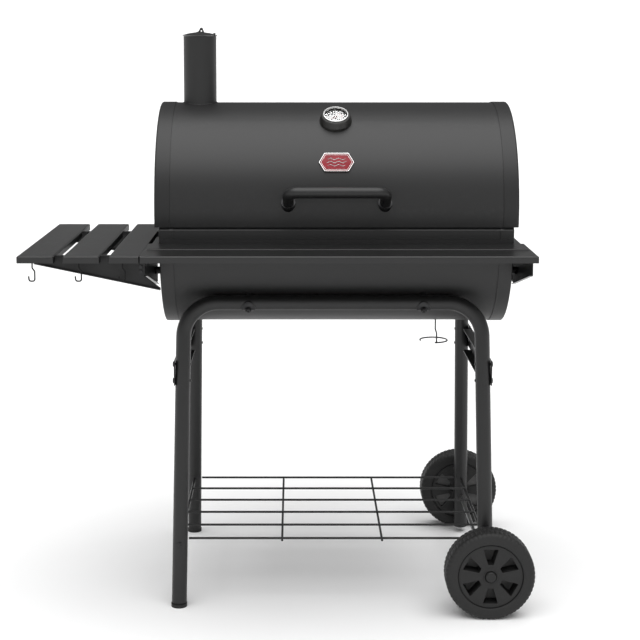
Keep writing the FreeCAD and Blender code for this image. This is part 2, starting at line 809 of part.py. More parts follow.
def make_handle_fixings():
    spacers, screws = [], []
    skin = rod("HandleSpacerSkin", "hood_radius", ("-hood_half", "0", "hood_axis_z"), "2 * hood_half", "X")
    inner = rod("HandleScrewSkin", "hood_radius - sheet - 0.2", ("-hood_half", "0", "hood_axis_z"), "2 * hood_half", "X")
    for sign in (-1, 1):
        side = "Left" if sign < 0 else "Right"
        blank = handle_rod(f"SpacerBlank{side}", "handle_spacer_radius", "-12", "handle_start + 12", sign)
        bore = handle_rod(f"SpacerBore{side}", "screw_radius + drill_gap", "-15", "40", sign)
        spacers.append(cut(f"HandleSpacer{side}", blank, [skin, bore]))
        shank = handle_rod(f"HandleShank{side}", "screw_radius", "-10", "handle_start + 22", sign)
        head_blank = handle_rod(f"HandleHead{side}", "bolt_head_radius", "-12", "12", sign)
        head = common(f"HandleHeadInside{side}", head_blank, inner)
        screws.append(fuse(f"HandleScrew{side}", [shank, head]))
    subpart(group("HandleSpacers", spacers), "handle_spacers")
    subpart(group("HandleScrews", screws), "handle_screws")


# ---- chimney ---------------------------------------------------------------------------------------------

def make_chimney():
    start = ("chimney_x", "chimney_y", "chimney_bottom_z")
    length = "chimney_top_z - chimney_bottom_z"
    outer = rod("FlueOuter", "chimney_radius", start, length)
    inner = rod("FlueInner", "chimney_radius - sheet", start, length)
    below = rod("FlueFoot", "hood_radius + 0.05", ("-hood_half", "0", "hood_axis_z"), "hood_half", "X")
    pipe = cut("FluePipe", outer, [inner, below])
    ear_at = ("chimney_x + cap_pin_offset", "chimney_y", "chimney_top_z - cap_ear")
    ear = rod("FlueEar", "cap_pin_radius + 2.5", ear_at, "cap_ear")
    bore = rod("FlueEarBore", "cap_pin_radius", ear_at, "cap_ear + 2")
    subpart(cut("Flue", fuse("FlueWithEar", [pipe, ear]), [bore]), "chimney_pipe")


def make_chimney_cap():
    """A shallow dome that turns sideways about a pin, with an upright drilled tab to push it by."""
    body = new_body("ChimneyCap")
    radius, crown = "chimney_cap_radius", "cap_crown"
    dome = f"(({radius})^2 + {crown}^2) / (2 * {crown})"
    section = outline(sketch_on(body, "CapSection", "XZ_Plane"), [
        ("0", f"{crown} - sheet"),
        ("0", crown, "cw", dome),
        (radius, "0"),
        (radius, "-sheet", "ccw", dome),
    ])
    revolve(body, section)
    move(body, "chimney_x", "chimney_y", "chimney_cap_z + sheet")
    tab = new_body("CapTab")
    base, crook = "chimney_cap_z + sheet + cap_crown - 1.2", "cap_tab_top_z - cap_tab_radius"
    line = sketch_on(tab, "TabOutline", "XZ_Plane", "-chimney_y - sheet / 2")
    outline(line, [
        ("cap_tab_x - 15", base),
        ("cap_tab_x + 7", base),
        ("cap_tab_x + cap_tab_radius", crook, "ccw", "cap_tab_radius"),
        ("cap_tab_x", "cap_tab_top_z", "ccw", "cap_tab_radius"),
        ("cap_tab_x - cap_tab_radius", crook),
        ("cap_tab_x - 7", f"{base} + 3"),
    ])
    pad(tab, line, "sheet")
    hole = circle(sketch_on(tab, "TabHole", "XZ_Plane", "-chimney_y - sheet / 2"),
                  "cap_tab_x", f"{crook} - 3.5", "cap_tab_bore")
    pocket(tab, hole, "sheet", reverse=True)
    pin_x = "chimney_x + cap_pin_offset"
    bore = rod("CapBore", "cap_pin_radius + run_gap", (pin_x, "chimney_y", "chimney_cap_z - 2"), "12")
    subpart(cut("CapDrilled", fuse("CapWithTab", [body, tab]), [bore]), "chimney_cap")
    foot, head_z = "chimney_top_z - cap_ear", "chimney_cap_z + sheet + cap_crown / 2 + 0.2"
    shank = rod("CapPinShank", "cap_pin_radius", (pin_x, "chimney_y", foot), f"{head_z} - ({foot}) + 0.4")
    head = rod("CapPinHead", "cap_pin_radius + 1.4", (pin_x, "chimney_y", head_z), "cap_pin_head")
    subpart(fuse("CapPin", [shank, head]), "chimney_cap_pin")


# ---- thermometer and badge -------------------------------------------------------------------------------

def on_hood(body, tilt):
    """Stands a turned piece on the hood's axis line, tilted forward."""
    return move(body, "0", "0", "hood_axis_z", (1, 0, 0), tilt)


def turned(name, corners):
    """A turned piece from half its section: (radius, distance from the hood's axis)."""
    body = new_body(name)
    revolve(body, outline(sketch_on(body, name + "Section", "XZ_Plane"), corners))
    return on_hood(body, "gauge_tilt")


def make_gauge():
    skin = "hood_radius"
    hole = "screw_radius + drill_gap"
    housing = turned("GaugeHousing", [
        (hole, f"{skin} - 6"),
        ("gauge_base_radius", f"{skin} - 6"),
        ("gauge_base_radius", f"{skin} + 3"),
        ("gauge_top_radius + 1.5", f"{skin} + gauge_height - 3", "ccw", "4"),
        ("gauge_top_radius - 1.5", f"{skin} + gauge_height"),
        ("gauge_well_radius", f"{skin} + gauge_height"),
        ("gauge_well_radius", f"{skin} + gauge_floor"),
        (hole, f"{skin} + gauge_floor"),
    ])
    seat = rod("GaugeSeat", skin, ("-hood_half", "0", "hood_axis_z"), "2 * hood_half", "X")
    subpart(cut("GaugeHousingSeated", housing, [seat]), "gauge_housing")
    rim_low, rim_top = f"{skin} + gauge_height", f"{skin} + gauge_height + bezel_height"
    bezel = turned("GaugeBezel", [
        ("bezel_bore", rim_low),
        ("bezel_radius", rim_low),
        ("bezel_radius", f"{rim_top} - 1.6", "ccw", "1.6"),
        ("bezel_radius - 1.6", rim_top),
        ("bezel_bore + 1.2", rim_top),
        ("bezel_bore", f"{rim_top} - 1.2"),
    ])
    subpart(bezel, "gauge_bezel")
    dial_low = f"{skin} + dial_height"
    pin_hole = "needle_pin_radius + drill_gap"
    dial_edge = "gauge_well_radius - 0.2"
    dial = turned("GaugeDial", [(pin_hole, dial_low), (dial_edge, dial_low), (dial_edge, f"{dial_low} + 1"),
                                (pin_hole, f"{dial_low} + 1")])
    subpart(dial, "gauge_dial")
    glass = f"{skin} + lens_height"
    lens = turned("GaugeLens", [("0", glass), (dial_edge, glass), (dial_edge, f"{glass} + 1.6"),
                                ("0", f"{glass} + 1.6")])
    subpart(lens, "gauge_lens")
    needle_z = f"{skin} + needle_height"
    hub = radial_rod("NeedleHub", "3", needle_z, f"{needle_z} + 2", "0", "hood_axis_z", "gauge_tilt")
    blade = new_body("NeedleBlade")
    outline(sketch_on(blade, "NeedleOutline", "XY_Plane", needle_z), [
        ("-1.4", "1.4"),
        ("-(needle_length) * 0.8 - 0.3", "-(needle_length) * 0.6 + 0.4"),
        ("-(needle_length) * 0.8 + 0.3", "-(needle_length) * 0.6 - 0.4"),
        ("1.4", "-1.4"),
    ])
    pad(blade, blade.Group[-1], "0.8")
    on_hood(blade, "gauge_tilt")
    bore = radial_rod("NeedleBore", "needle_pin_radius + run_gap", f"{needle_z} - 2", f"{needle_z} + 4", "0",
                      "hood_axis_z", "gauge_tilt")
    subpart(cut("Needle", fuse("NeedleBlank", [hub, blade]), [bore]), "gauge_needle")
    probe = radial_rod("ProbeRod", "screw_radius", f"{skin} - probe_length", f"{skin} + dial_height - 0.6", "0",
                       "hood_axis_z", "gauge_tilt")
    nut = radial_rod("ProbeNut", "8", f"{skin} - sheet - 5.4", f"{skin} - sheet - 0.4", "0",
                     "hood_axis_z", "gauge_tilt")
    pin = radial_rod("ProbePin", "needle_pin_radius", f"{skin} + 2", f"{needle_z} + 3", "0",
                     "hood_axis_z", "gauge_tilt")
    subpart(fuse("GaugeProbe", [probe, nut, pin]), "gauge_probe")


def make_badge():
    """A plain six-sided plate with a raised border, seated on the curved hood."""
    body = new_body("Badge")
    wide, high, skin = "badge_half_width", "badge_half_height", "hood_radius"

    def six_sides(inset):
        return [
            (f"-({wide} - {inset})", "0"),
            (f"-({wide} - {inset}) + 12", f"-({high} - {inset})"),
            (f"{wide} - {inset} - 12", f"-({high} - {inset})"),
            (f"{wide} - {inset}", "0"),
            (f"{wide} - {inset} - 12", f"{high} - {inset}"),
            (f"-({wide} - {inset}) + 12", f"{high} - {inset}"),
        ]

    plate = outline(sketch_on(body, "BadgePlate", "XY_Plane", f"{skin} - 4"), six_sides("0"))
    pad(body, plate, "badge_thickness + 4")
    panel = outline(sketch_on(body, "BadgePanel", "XY_Plane", f"{skin} + badge_thickness"), six_sides("3"))
    pocket(body, panel, "1")
    on_hood(body, "badge_tilt")
    seat = rod("BadgeSeat", skin, ("-hood_half", "0", "hood_axis_z"), "2 * hood_half", "X")
    subpart(cut("BadgeSeated", body, [seat]), "badge")


# ---- hinges ----------------------------------------------------------------------------------------------

def make_hinges():
    fixed, moving, pins = [], [], []
    for sign in (-1, 1):
        side = "Left" if sign < 0 else "Right"
        middle = f"{sign} * hinge_x"
        wide, narrow = "hinge_half_width", "knuckle_half_width"
        bore = rod(f"HingeBore{side}", "hinge_pin_radius + run_gap",
                   (f"{middle} - {wide} - 5", "hinge_y", "hinge_z"), f"2 * {wide} + 10", "X")
        leaf = box(f"HingeLeaf{side}", (f"{middle} - {wide}", "body_radius + 0.3", "body_axis_z - 14"),
                   (f"{middle} + {wide}", "body_radius + 2.3", "hinge_z - 2"))
        pieces = [leaf]
        for name, start in (("A", f"{middle} - {wide}"), ("B", f"{middle} + {narrow} + 0.5")):
            length = f"{wide} - {narrow} - 0.5"
            pieces.append(rod(f"Knuckle{side}{name}", "knuckle_radius", (start, "hinge_y", "hinge_z"), length, "X"))
            pieces.append(box(f"KnuckleLug{side}{name}", (start, "body_radius + 1", "hinge_z - 5.5"),
                              (f"{start} + {length}", "hinge_y", "hinge_z - 3")))
        fixed.append(cut(f"HingeFixed{side}", fuse(f"HingeFixedBlank{side}", pieces), [bore]))
        plate = box(f"HoodLeaf{side}", (f"{middle} - {wide}", "hood_radius + 0.2", "hinge_z + 8"),
                    (f"{middle} + {wide}", "hood_radius + 2.2", "hinge_z + 34"))
        lug = box(f"HoodLug{side}", (f"{middle} - {narrow}", "hood_radius + 0.2", "hinge_z + 3"),
                  (f"{middle} + {narrow}", "hinge_y", "hinge_z + 10"))
        knuckle = rod(f"HoodKnuckle{side}", "knuckle_radius", (f"{middle} - {narrow}", "hinge_y", "hinge_z"),
                      f"2 * {narrow}", "X")
        moving.append(cut(f"HingeMoving{side}", fuse(f"HingeMovingBlank{side}", [plate, lug, knuckle]), [bore]))
        shank = rod(f"HingePinShank{side}", "hinge_pin_radius", (f"{middle} - {wide} - 2", "hinge_y", "hinge_z"),
                    f"2 * {wide} + 4", "X")
        heads = []
        for name, start in (("Left", f"{middle} - {wide} - 2"), ("Right", f"{middle} + {wide} + 0.3")):
            heads.append(rod(f"HingePinHead{side}{name}", "hinge_pin_radius + 1.5", (start, "hinge_y", "hinge_z"),
                             "1.7", "X"))
        pins.append(fuse(f"HingePin{side}", [shank] + heads))
    subpart(group("BodyHinges", fixed), "hinge_leaves_body")
    subpart(group("HoodHinges", moving), "hinge_leaves_hood")
    subpart(group("HingePins", pins), "hinge_pins")


# ---- shelves ---------------------------------------------------------------------------------------------

BRACKET_TOP = ARM_TOP = "shelf_top_z - sheet - 0.2"


def shelf_pan(name, left, right, front, back, open_back=False, plain=None):
    """A sheet folded down on its sides, with rounded upper edges and an open underside.

    Its upper edge at X = plain stays square."""
    body = new_body(name)
    low = "shelf_top_z - shelf_drop"
    block = rectangle(sketch_on(body, name + "Plan", "XY_Plane", low), left, front, right, back)
    pad(body, block, "shelf_drop")

    def rounded(edge):
        upright = edge.BoundBox.ZLength > size("shelf_drop") - 1
        at_back = near(edge.BoundBox.YMin, back)
        if plain and near(edge.BoundBox.XMin, plain) and near(edge.BoundBox.XMax, plain) and not upright:
            return False
        return not (open_back and at_back) and (upright or near(edge.BoundBox.ZMin, "shelf_top_z"))

    def left_out(face):
        return near(face.BoundBox.ZMax, low) or (open_back and near(face.BoundBox.YMin, back))

    round_edges(body, rounded, "shelf_round")
    hollow(body, left_out, "sheet")
    return body


def stud(name, place, low):
    """A stud welded under a shelf's sheet, reaching down to a height."""
    x, y = place
    return rod(name, "stud_radius", (x, y, low), f"shelf_top_z - sheet / 2 - ({low})")


def stud_nut(name, place, face):
    """A nut on a stud, tightened up against a face above it."""
    x, y = place
    blank = rod(name + "Blank", "stud_radius * 2", (x, y, f"{face} - stud_nut"), "stud_nut")
    bore = rod(name + "Bore", "stud_radius", (x, y, f"{face} - 2 * stud_nut"), "3 * stud_nut")
    return cut(name, blank, [bore])


def make_front_shelf():
    body = shelf_pan("FrontShelf", "-front_shelf_half", "front_shelf_half", "shelf_front_y", "front_shelf_back_y",
                     True, "-front_shelf_half")
    bead = rectangle(sketch_on(body, "ShelfBead", "XY_Plane", "shelf_top_z - 1"),
                     "6 - front_shelf_half", "bead_y - bead_half", "front_shelf_half - 6", "bead_y + bead_half")
    pad(body, bead, "bead_height + 1")
    crest = lambda edge: near(edge.BoundBox.ZMin, "shelf_top_z + bead_height")
    round_edges(body, crest, "bead_height * 0.9")
    upstand = rectangle(sketch_on(body, "ShelfUpstand", "XY_Plane", "shelf_top_z - sheet"),
                        "4 - body_half", "front_shelf_back_y - sheet", "body_half - 4", "front_shelf_back_y")
    pad(body, upstand, "shelf_flange + sheet")
    studs = [stud(f"ShelfStud{number}", place, STUD_LOW) for number, place in enumerate(SHELF_STUDS)]
    notched = cut("FrontShelfNotched", body, arm_notches(
        "FrontShelf", "-front_shelf_half - 1", "3 - front_shelf_half", ("arm_front_y",)))
    subpart(fuse("FrontShelfStudded", [notched] + studs), "front_shelf")


SHELF_STUDS = [(f"{side} * (body_half + bracket_gap + bracket_stand_off - bracket_lip / 2)", y)
               for side in (-1, 1) for y in ("bracket_front_y + 30", "front_shelf_back_y - 16")]
STUD_LOW = "shelf_top_z - shelf_drop + 3"


def bracket_stud_holes(name, side):
    holes = []
    for number, (x, y) in enumerate(SHELF_STUDS[2:] if side > 0 else SHELF_STUDS[:2]):
        holes.append(rod(f"{name}StudHole{number}", "stud_radius + drill_gap", (x, y, "shelf_top_z - 12"), "15"))
    return holes


def slat_studs(number):
    """Where a slat's two studs stand: over the lips of the front and the rear arm."""
    right = slat_edges(number)[1]
    return [(f"({right}) - 16", f"{arm_y} - sheet - 4.2") for arm_y in ("arm_front_y", "arm_rear_y")]


def slat_edges(number):
    """Left and right edges of a side shelf slat, counted from the far left."""
    left = f"slat_left + slat_pitch * {number - 1}"
    return left, "last_slat_right" if number == 3 else f"{left} + slat_width"


def hook_x(number):
    """A hook's peg, a little left of its slat's middle."""
    left, right = slat_edges(number)
    shift = ("hook_shift_1", "hook_shift_2", "hook_shift_3")[number - 1]
    return f"(({left}) + ({right})) / 2 - {shift}"


def arm_notches(name, left, right, arms):
    """Blocks that clear the arms' upper edges out of a shelf's side lips."""
    blocks = []
    for number, y in enumerate(arms):
        low = (left, f"{y} - arm_lip - 0.5", "shelf_top_z - shelf_drop - 1")
        blocks.append(box(f"{name}Notch{number}", low, (right, f"{y} + 0.5", "shelf_top_z - sheet")))
    return blocks


def make_side_slats():
    for number in (1, 2, 3):
        left, right = slat_edges(number)
        plain = right if number == 3 else None
        pan = shelf_pan(f"SideSlat{number}", left, right, "shelf_front_y", "slat_back_y", plain=plain)
        place = (hook_x(number), "shelf_front_y + sheet - 0.5", "hook_pin_z")
        peg = rod(f"HookPeg{number}", "hook_pin_radius", place, "hook_y - shelf_front_y + 2.2", "Y")
        stop_at = (hook_x(number), "hook_y + hook_wire + 0.5", "hook_pin_z")
        stop = rod(f"HookPegHead{number}", "hook_pin_radius + 1.6", stop_at, "1.5", "Y")
        studs = []
        for end, place in enumerate(slat_studs(number)):
            studs.append(stud(f"SlatStud{number}{end}", place, f"{ARM_TOP} - sheet - stud_nut - 1"))
        from_x = "arm_left - 2" if number == 1 else f"{left} - 1"
        notched = cut(f"SlatNotched{number}", pan,
                      arm_notches(f"Slat{number}", from_x, f"{right} + 1", ("arm_front_y", "arm_rear_y")))
        subpart(fuse(f"SlatPegged{number}", [notched, peg, stop] + studs), f"side_shelf_slat_{number}")


def plate_body(name, plane, offset, corners, thickness, reverse=False):
    """A flat plate cut to an outline."""
    body = new_body(name)
    pad(body, outline(sketch_on(body, name + "Plate", plane, offset), corners), thickness, reverse)
    return body


def add_lip(body, name, plane, offset, corners, width, reverse=False):
    """A lip folded off a plate: a thin strip along one of its edges."""
    pad(body, outline(sketch_on(body, name, plane, offset), corners), width, reverse)



def bracket_web(side):
    """X of a bracket's inner face."""
    return f"{side} * (body_half + bracket_gap + bracket_stand_off)"


def make_bracket(label, side):
    """A folded plate that stands on two bosses off the barrel's end and carries the front shelf."""
    right = side > 0
    name = "Bracket" + ("Right" if right else "Left")
    web, outer = bracket_web(side), f"{bracket_web(side)} + {side} * sheet"
    back, knee, front = "bracket_back_y", "bracket_knee_y", "bracket_front_y"
    body = plate_body(name, "YZ_Plane", web, [
        (back, BRACKET_TOP), (back, "bracket_low_z"), (knee, "bracket_low_z"), (front, "bracket_front_z"),
        (front, BRACKET_TOP)], "sheet", reverse=not right)
    add_lip(body, name + "TopLip", "YZ_Plane", outer, [
        (front, f"{BRACKET_TOP} - sheet"), (back, f"{BRACKET_TOP} - sheet"), (back, BRACKET_TOP),
        (front, BRACKET_TOP)], "bracket_lip + sheet", right)
    add_lip(body, name + "LowLip", "YZ_Plane", outer, [
        (front, "bracket_front_z"), (knee, "bracket_low_z"), (knee, "bracket_low_z + sheet"),
        (front, "bracket_front_z + sheet")], "bracket_low_lip + sheet", right)
    if not right:
        flange_top = "shelf_top_z - shelf_drop - 1"
        add_lip(body, name + "Flange", "YZ_Plane", web, [
            (front, "bracket_front_z"), (f"{front} + sheet", "bracket_front_z"),
            (f"{front} + sheet", flange_top), (front, flange_top)], "bracket_flange + sheet", True)
    bosses = []
    for number, (y, z) in enumerate(BRACKET_BOLTS):
        start = "body_half + bracket_gap" if right else f"{web} - sheet / 2"
        bosses.append(rod(f"{name}Boss{number}", "boss_radius", (start, y, z), "bracket_stand_off + sheet / 2", "X"))
    holes = bracket_bolt_holes(name, side) + bracket_stud_holes(name, side)
    if not right:
        holes += arm_bolt_holes(name)
    subpart(cut(name + "Drilled", fuse(name + "Bossed", [body] + bosses), holes), label)


BRACKET_BOLTS = (("bracket_knee_y - 14", "shelf_top_z - 24"), ("bracket_knee_y - 14", "shelf_top_z - 68"))


def bracket_bolt_holes(name, side):
    start = "body_half - 10" if side > 0 else "-body_half - 20"
    holes = []
    for number, (y, z) in enumerate(BRACKET_BOLTS):
        holes.append(rod(f"{name}BoltHole{number}", "bolt_radius + drill_gap", (start, y, z), "30", "X"))
    return holes


def screw(name, head_face, direction, length, along, radius="bolt_radius"):
    """A pan-head screw: its head stands on a face and its shank runs the other way. direction is where the head is."""
    x, y, z = head_face
    axis = "XYZ".index(along)
    head_start = list(head_face)
    shank_start = list(head_face)
    if direction < 0:
        head_start[axis] = f"{head_face[axis]} - bolt_head"
    else:
        shank_start[axis] = f"{head_face[axis]} - ({length})"
    shank = rod(name + "Shank", radius, shank_start, length, along)
    head = rod(name + "Head", f"{radius} * 2", head_start, "bolt_head", along)
    return fuse(name, [shank, head])


def arm_points(right_top, tail):
    """The side arm's outline: a long wedge, from a point at the far left to a deep end beside the barrel."""
    return [("arm_left", ARM_TOP), ("arm_left", f"{ARM_TOP} - arm_tip")] + tail + [(right_top, ARM_TOP)]



def arm_lips(body, name, plane_offset, right_top, low_right):
    """The lips along the arm's upper and lower edges, folded forward."""
    add_lip(body, name + "TopLip", "XZ_Plane", plane_offset, [
        ("arm_left", f"{ARM_TOP} - sheet"), (right_top, f"{ARM_TOP} - sheet"), (right_top, ARM_TOP),
        ("arm_left", ARM_TOP)], "arm_lip")
    add_lip(body, name + "LowLip", "XZ_Plane", plane_offset, [
        ("arm_left", f"{ARM_TOP} - arm_tip"), (low_right, "arm_low_z"), (low_right, "arm_low_z + sheet"),
        ("arm_left", f"{ARM_TOP} - arm_tip + sheet")], "arm_lip")


def make_side_arms():
    front = "-arm_front_y"
    tail = [("arm_tail_x", "arm_low_z"), ("arm_tail_x", "arm_low_z + arm_end"), ("arm_notch_x", "arm_notch_z")]
    arm = plate_body("FrontArm", "XZ_Plane", front, arm_points("arm_notch_x", tail), "sheet")
    arm_lips(arm, "FrontArm", front, "arm_notch_x", "arm_tail_x")
    add_lip(arm, "FrontArmNotchLip", "XZ_Plane", front, [
        ("arm_notch_x", "arm_notch_z"), ("arm_notch_x", "arm_notch_z - sheet"),
        ("arm_tail_x", "arm_low_z + arm_end - sheet"), ("arm_tail_x", "arm_low_z + arm_end")], "arm_lip")
    holes = arm_bolt_holes("FrontArm") + slat_stud_holes("FrontArm", 0)
    subpart(cut("FrontArmDrilled", arm, holes), "side_arm_front")
    rear = "-arm_rear_y"
    end = "-body_half - 0.3"
    arm = plate_body("RearArm", "XZ_Plane", rear, arm_points(end, [(end, "arm_low_z + 2")]), "sheet")
    arm_lips(arm, "RearArm", rear, end, end)
    add_lip(arm, "RearArmEndLip", "XZ_Plane", rear, [
        (f"{end} - sheet", "arm_low_z + 2"), (end, "arm_low_z + 2"), (end, ARM_TOP), (f"{end} - sheet", ARM_TOP)],
        "arm_lip + 6")
    holes = arm_flange_holes("RearArm") + slat_stud_holes("RearArm", 1)
    subpart(cut("RearArmDrilled", arm, holes), "side_arm_rear")


ARM_BOLTS = ("arm_notch_z + 8", "arm_notch_z + 18")
FLANGE_BOLTS = ("arm_low_z + 14", "arm_low_z + 46")


def arm_bolt_holes(name):
    """Holes along Y through the front arm and the left bracket's flange."""
    holes = []
    for number, z in enumerate(ARM_BOLTS):
        start = ("arm_notch_x - 7", "arm_front_y - 20", z)
        holes.append(rod(f"{name}ArmHole{number}", "bolt_radius * 0.6 + drill_gap", start, "40", "Y"))
    return holes


def arm_flange_holes(name):
    """Holes along X through the rear arm's end lip and the left end of the barrel."""
    holes = []
    for number, z in enumerate(FLANGE_BOLTS):
        start = ("-body_half - 10", "arm_rear_y - 9", z)
        holes.append(rod(f"{name}FlangeHole{number}", "bolt_radius + drill_gap", start, "20", "X"))
    return holes


def slat_stud_holes(name, end):
    holes = []
    for number in (1, 2, 3):
        x, y = slat_studs(number)[end]
        holes.append(rod(f"{name}SlatHole{number}", "stud_radius + drill_gap", (x, y, f"{ARM_TOP} - 10"), "20"))
    return holes


def shelf_bolts():
    bolts = []
    for sign in (-1, 1):
        for number, (y, z) in enumerate(BRACKET_BOLTS):
            face = f"{bracket_web(sign)} + {sign} * sheet"
            bolts.append(screw(f"BracketBolt{sign + 1}{number}", (face, y, z), sign, "bracket_stand_off + 6", "X"))
    for number, z in enumerate(FLANGE_BOLTS):
        face = ("-body_half - 0.3 - sheet", "arm_rear_y - 9", z)
        bolts.append(screw(f"FlangeBolt{number}", face, -1, "bolt_head * 3", "X"))
    return bolts


def shelf_screws():
    """The nuts on the shelves' studs, and the two screws between the front arm and the left bracket."""
    screws = []
    for number in (1, 2, 3):
        for end, place in enumerate(slat_studs(number)):
            screws.append(stud_nut(f"SlatNut{number}{end}", place, f"{ARM_TOP} - sheet"))
    for number, place in enumerate(SHELF_STUDS):
        screws.append(stud_nut(f"ShelfNut{number}", place, f"{BRACKET_TOP} - sheet"))
    for number, z in enumerate(ARM_BOLTS):
        face = ("arm_notch_x - 7", "arm_front_y - sheet", z)
        screws.append(screw(f"ArmScrew{number}", face, -1, "8", "Y", "bolt_radius * 0.6"))
    return screws


# ---- bent wire pieces ------------------------------------------------------------------------------------

def wire_path(points, radii):
    """Straight runs through points, with a tangent arc of its own radius at each inner point."""
    edges, here = [], points[0]
    for corner, after, radius in zip(points[1:-1], points[2:], radii):
        back, ahead = (here - corner).normalize(), (after - corner).normalize()
        half = back.getAngle(ahead) / 2
        reach = radius / math.tan(half)
        start, end = corner + back * reach, corner + ahead * reach
        middle_way = (back + ahead).normalize()
        middle = corner + middle_way * (radius / math.sin(half) - radius)
        edges.append(Part.LineSegment(here, start).toShape())
        edges.append(Part.Arc(start, middle, end).toShape())
        here = end
    edges.append(Part.LineSegment(here, points[-1]).toShape())
    return edges


def swept_wire(edges, radius):
    """A round wire swept along connected edges."""
    path = Part.Wire(edges)
    start = path.OrderedEdges[0]
    place = start.valueAt(start.FirstParameter)
    ahead = start.tangentAt(start.FirstParameter)
    profile = Part.Wire([Part.Circle(place, ahead, radius).toShape()])
    return path.makePipeShell([profile], True, True)


def make_hooks():
    """Flat hooks of bent wire: an eye about a peg behind the slat's front fold, a jogged shank and a curl."""
    wire = size("hook_wire")
    eye = size("hook_pin_radius + run_gap") + wire
    drop = size("hook_drop")
    for number in (1, 2, 3):
        points = [
            Vector(0, 0, -eye), Vector(0, 0, -drop * 0.45), Vector(5, 0, -drop * 0.62), Vector(5, 0, -drop - 6),
            Vector(-6.5, 0, -drop - 6), Vector(-7.5, 0, -drop + 4),
        ]
        shank = swept_wire(wire_path(points, (5, 5, 4.5, 4.5)), wire)
        loop = Part.makeTorus(eye, wire, Vector(), Vector(0, 1, 0))
        hook = doc.addObject("Part::Feature", f"Hook{number}")
        hook.Shape = shank.fuse(loop).removeSplitter()
        move(hook, hook_x(number), "hook_y", "hook_pin_z")
        subpart(hook, f"hook_{number}")


def make_grease_ring():
    """A wire ring for a grease can: three quarters of a circle, a shank up its front and a button in the barrel."""
    wire, radius, jog = size("ring_wire"), size("ring_radius"), size("ring_jog")
    rise = size("body_axis_z - body_radius - ring_z")
    foot = Vector(0, -radius, 0)
    arc = Part.Arc(foot, Vector(radius, 0, 0), Vector(0, radius, 0)).toShape()
    tail = Part.Arc(Vector(0, radius, 0), Vector(-radius * 0.7, radius * math.sqrt(1 - 0.49), 0),
                    Vector(-radius * math.cos(0.15), -radius * math.sin(0.15), 0)).toShape()
    start = Vector(jog, -math.sqrt(radius ** 2 - jog ** 2), 0)
    ring = swept_wire([arc, tail], wire)
    shank_points = [start, start + Vector(0, 0, rise * 0.42), start + Vector(-jog * 0.8, 0, rise * 0.62),
                    start + Vector(-jog * 0.8, 0, rise + 5)]
    shank = swept_wire(wire_path(shank_points, (6, 6)), wire)
    joint = Part.makeSphere(wire * 1.15, start)
    button = Part.makeCylinder(wire * 2.2, 1.5, start + Vector(-jog * 0.8, 0, rise + 4.6))
    piece = doc.addObject("Part::Feature", "GreaseRing")
    piece.Shape = ring.fuse([shank, joint, button]).removeSplitter()
    move(piece, "ring_x", "0", "ring_z")
    subpart(piece, "grease_ring")


# ---- leg frames ------------------------------------------------------------------------------------------

# The two leg frames lean together at the top. Front: towards -Y at the foot, so sign -1 names the front frame.

BAR_RISE = "bar_z / cos(leg_lean * 1deg)"
FOOT_Y = "(bar_y + bar_z * tan(leg_lean * 1deg))"


def leg_x(side, z):
    """X of a leg's centre line at a height: side is -1 for the left legs and 1 for the right ones."""
    return f"(frame_x + {side} * (foot_half - ({z}) * tan(leg_splay * 1deg)))"


def leg_y(sign, z):
    """Y of a leg's centre line at a height: sign is -1 for the front frame and 1 for the rear one."""
    return f"({sign} * ({FOOT_Y} - ({z}) * tan(leg_lean * 1deg)))"


def on_leg(gap):
    """Distance along a leg's slope from the floor, for a height above the floor."""
    return f"({gap}) / cos(leg_lean * 1deg)"


def make_leg_frame(label, sign):
    name = "Front" if sign < 0 else "Rear"
    body = new_body(f"{name}Frame")
    path = sketch_on(body, f"{name}FramePath", "XZ_Plane")
    left_low, right_low = on_leg("left_leg_gap"), on_leg("right_leg_gap")
    left = (f"{left_low} * tan(leg_splay * 1deg) - foot_half", left_low)
    right = (f"foot_half - {right_low} * tan(leg_splay * 1deg)", right_low)
    bent_path(path, left, right, BAR_RISE, "leg_bend", ("90 - leg_splay", "90 + leg_splay"))
    for number, leg in (("leftSlope", 0), ("rightSlope", 4)):
        angle = "90 - leg_splay" if leg == 0 else "leg_splay - 90"
        limit = path.addConstraint(Sketcher.Constraint("Angle", leg, math.radians(size(angle))))
        path.renameConstraint(limit, number)
        bind(path, f"Constraints.{number}", f"({angle}) * 1deg")
    section = tube_section(body, f"{name}FrameSection", "tube_radius", left[0], left[1])
    pipe_along(body, section, path)
    move(body, "frame_x", f"{sign} * {FOOT_Y}", "0", (1, 0, 0), f"{-sign} * -leg_lean")
    holes = barrel_bolt_holes(f"{name}Frame", sign) + brace_bolt_holes(f"{name}Frame", sign)
    holes += rack_screw_holes(f"{name}Frame", sign)
    holes.append(rod(f"{name}FrameAxleHole", "axle_radius + drill_gap", (AXLE_X, "-400", "wheel_radius"), "800", "Y"))
    subpart(cut(f"{name}FrameDrilled", body, holes), label)


def make_leg_plugs():
    """Plugs in the two left legs: a stem inside the tube and a round foot that stands flat on the floor."""
    plugs = []
    for sign in (-1, 1):
        name = "Front" if sign < 0 else "Rear"
        foot = rod(f"{name}PlugFoot", "tube_radius + 1", (leg_x(-1, "0"), leg_y(sign, "0"), "0"), "left_leg_gap - 1.6")
        stem = doc.addObject("Part::Cylinder", f"{name}PlugStem")
        bind(stem, "Radius", "tube_radius - tube_wall - 0.5")
        bind(stem, "Height", "plug_height + left_leg_gap")
        tilt = f"{-sign} * -leg_lean"
        move(stem, leg_x(-1, "18"), leg_y(sign, "2"), "2", (1, 0, 0), tilt)
        plugs.append(fuse(f"{name}Plug", [foot, stem]))
    subpart(group("LegPlugs", plugs), "leg_plugs")


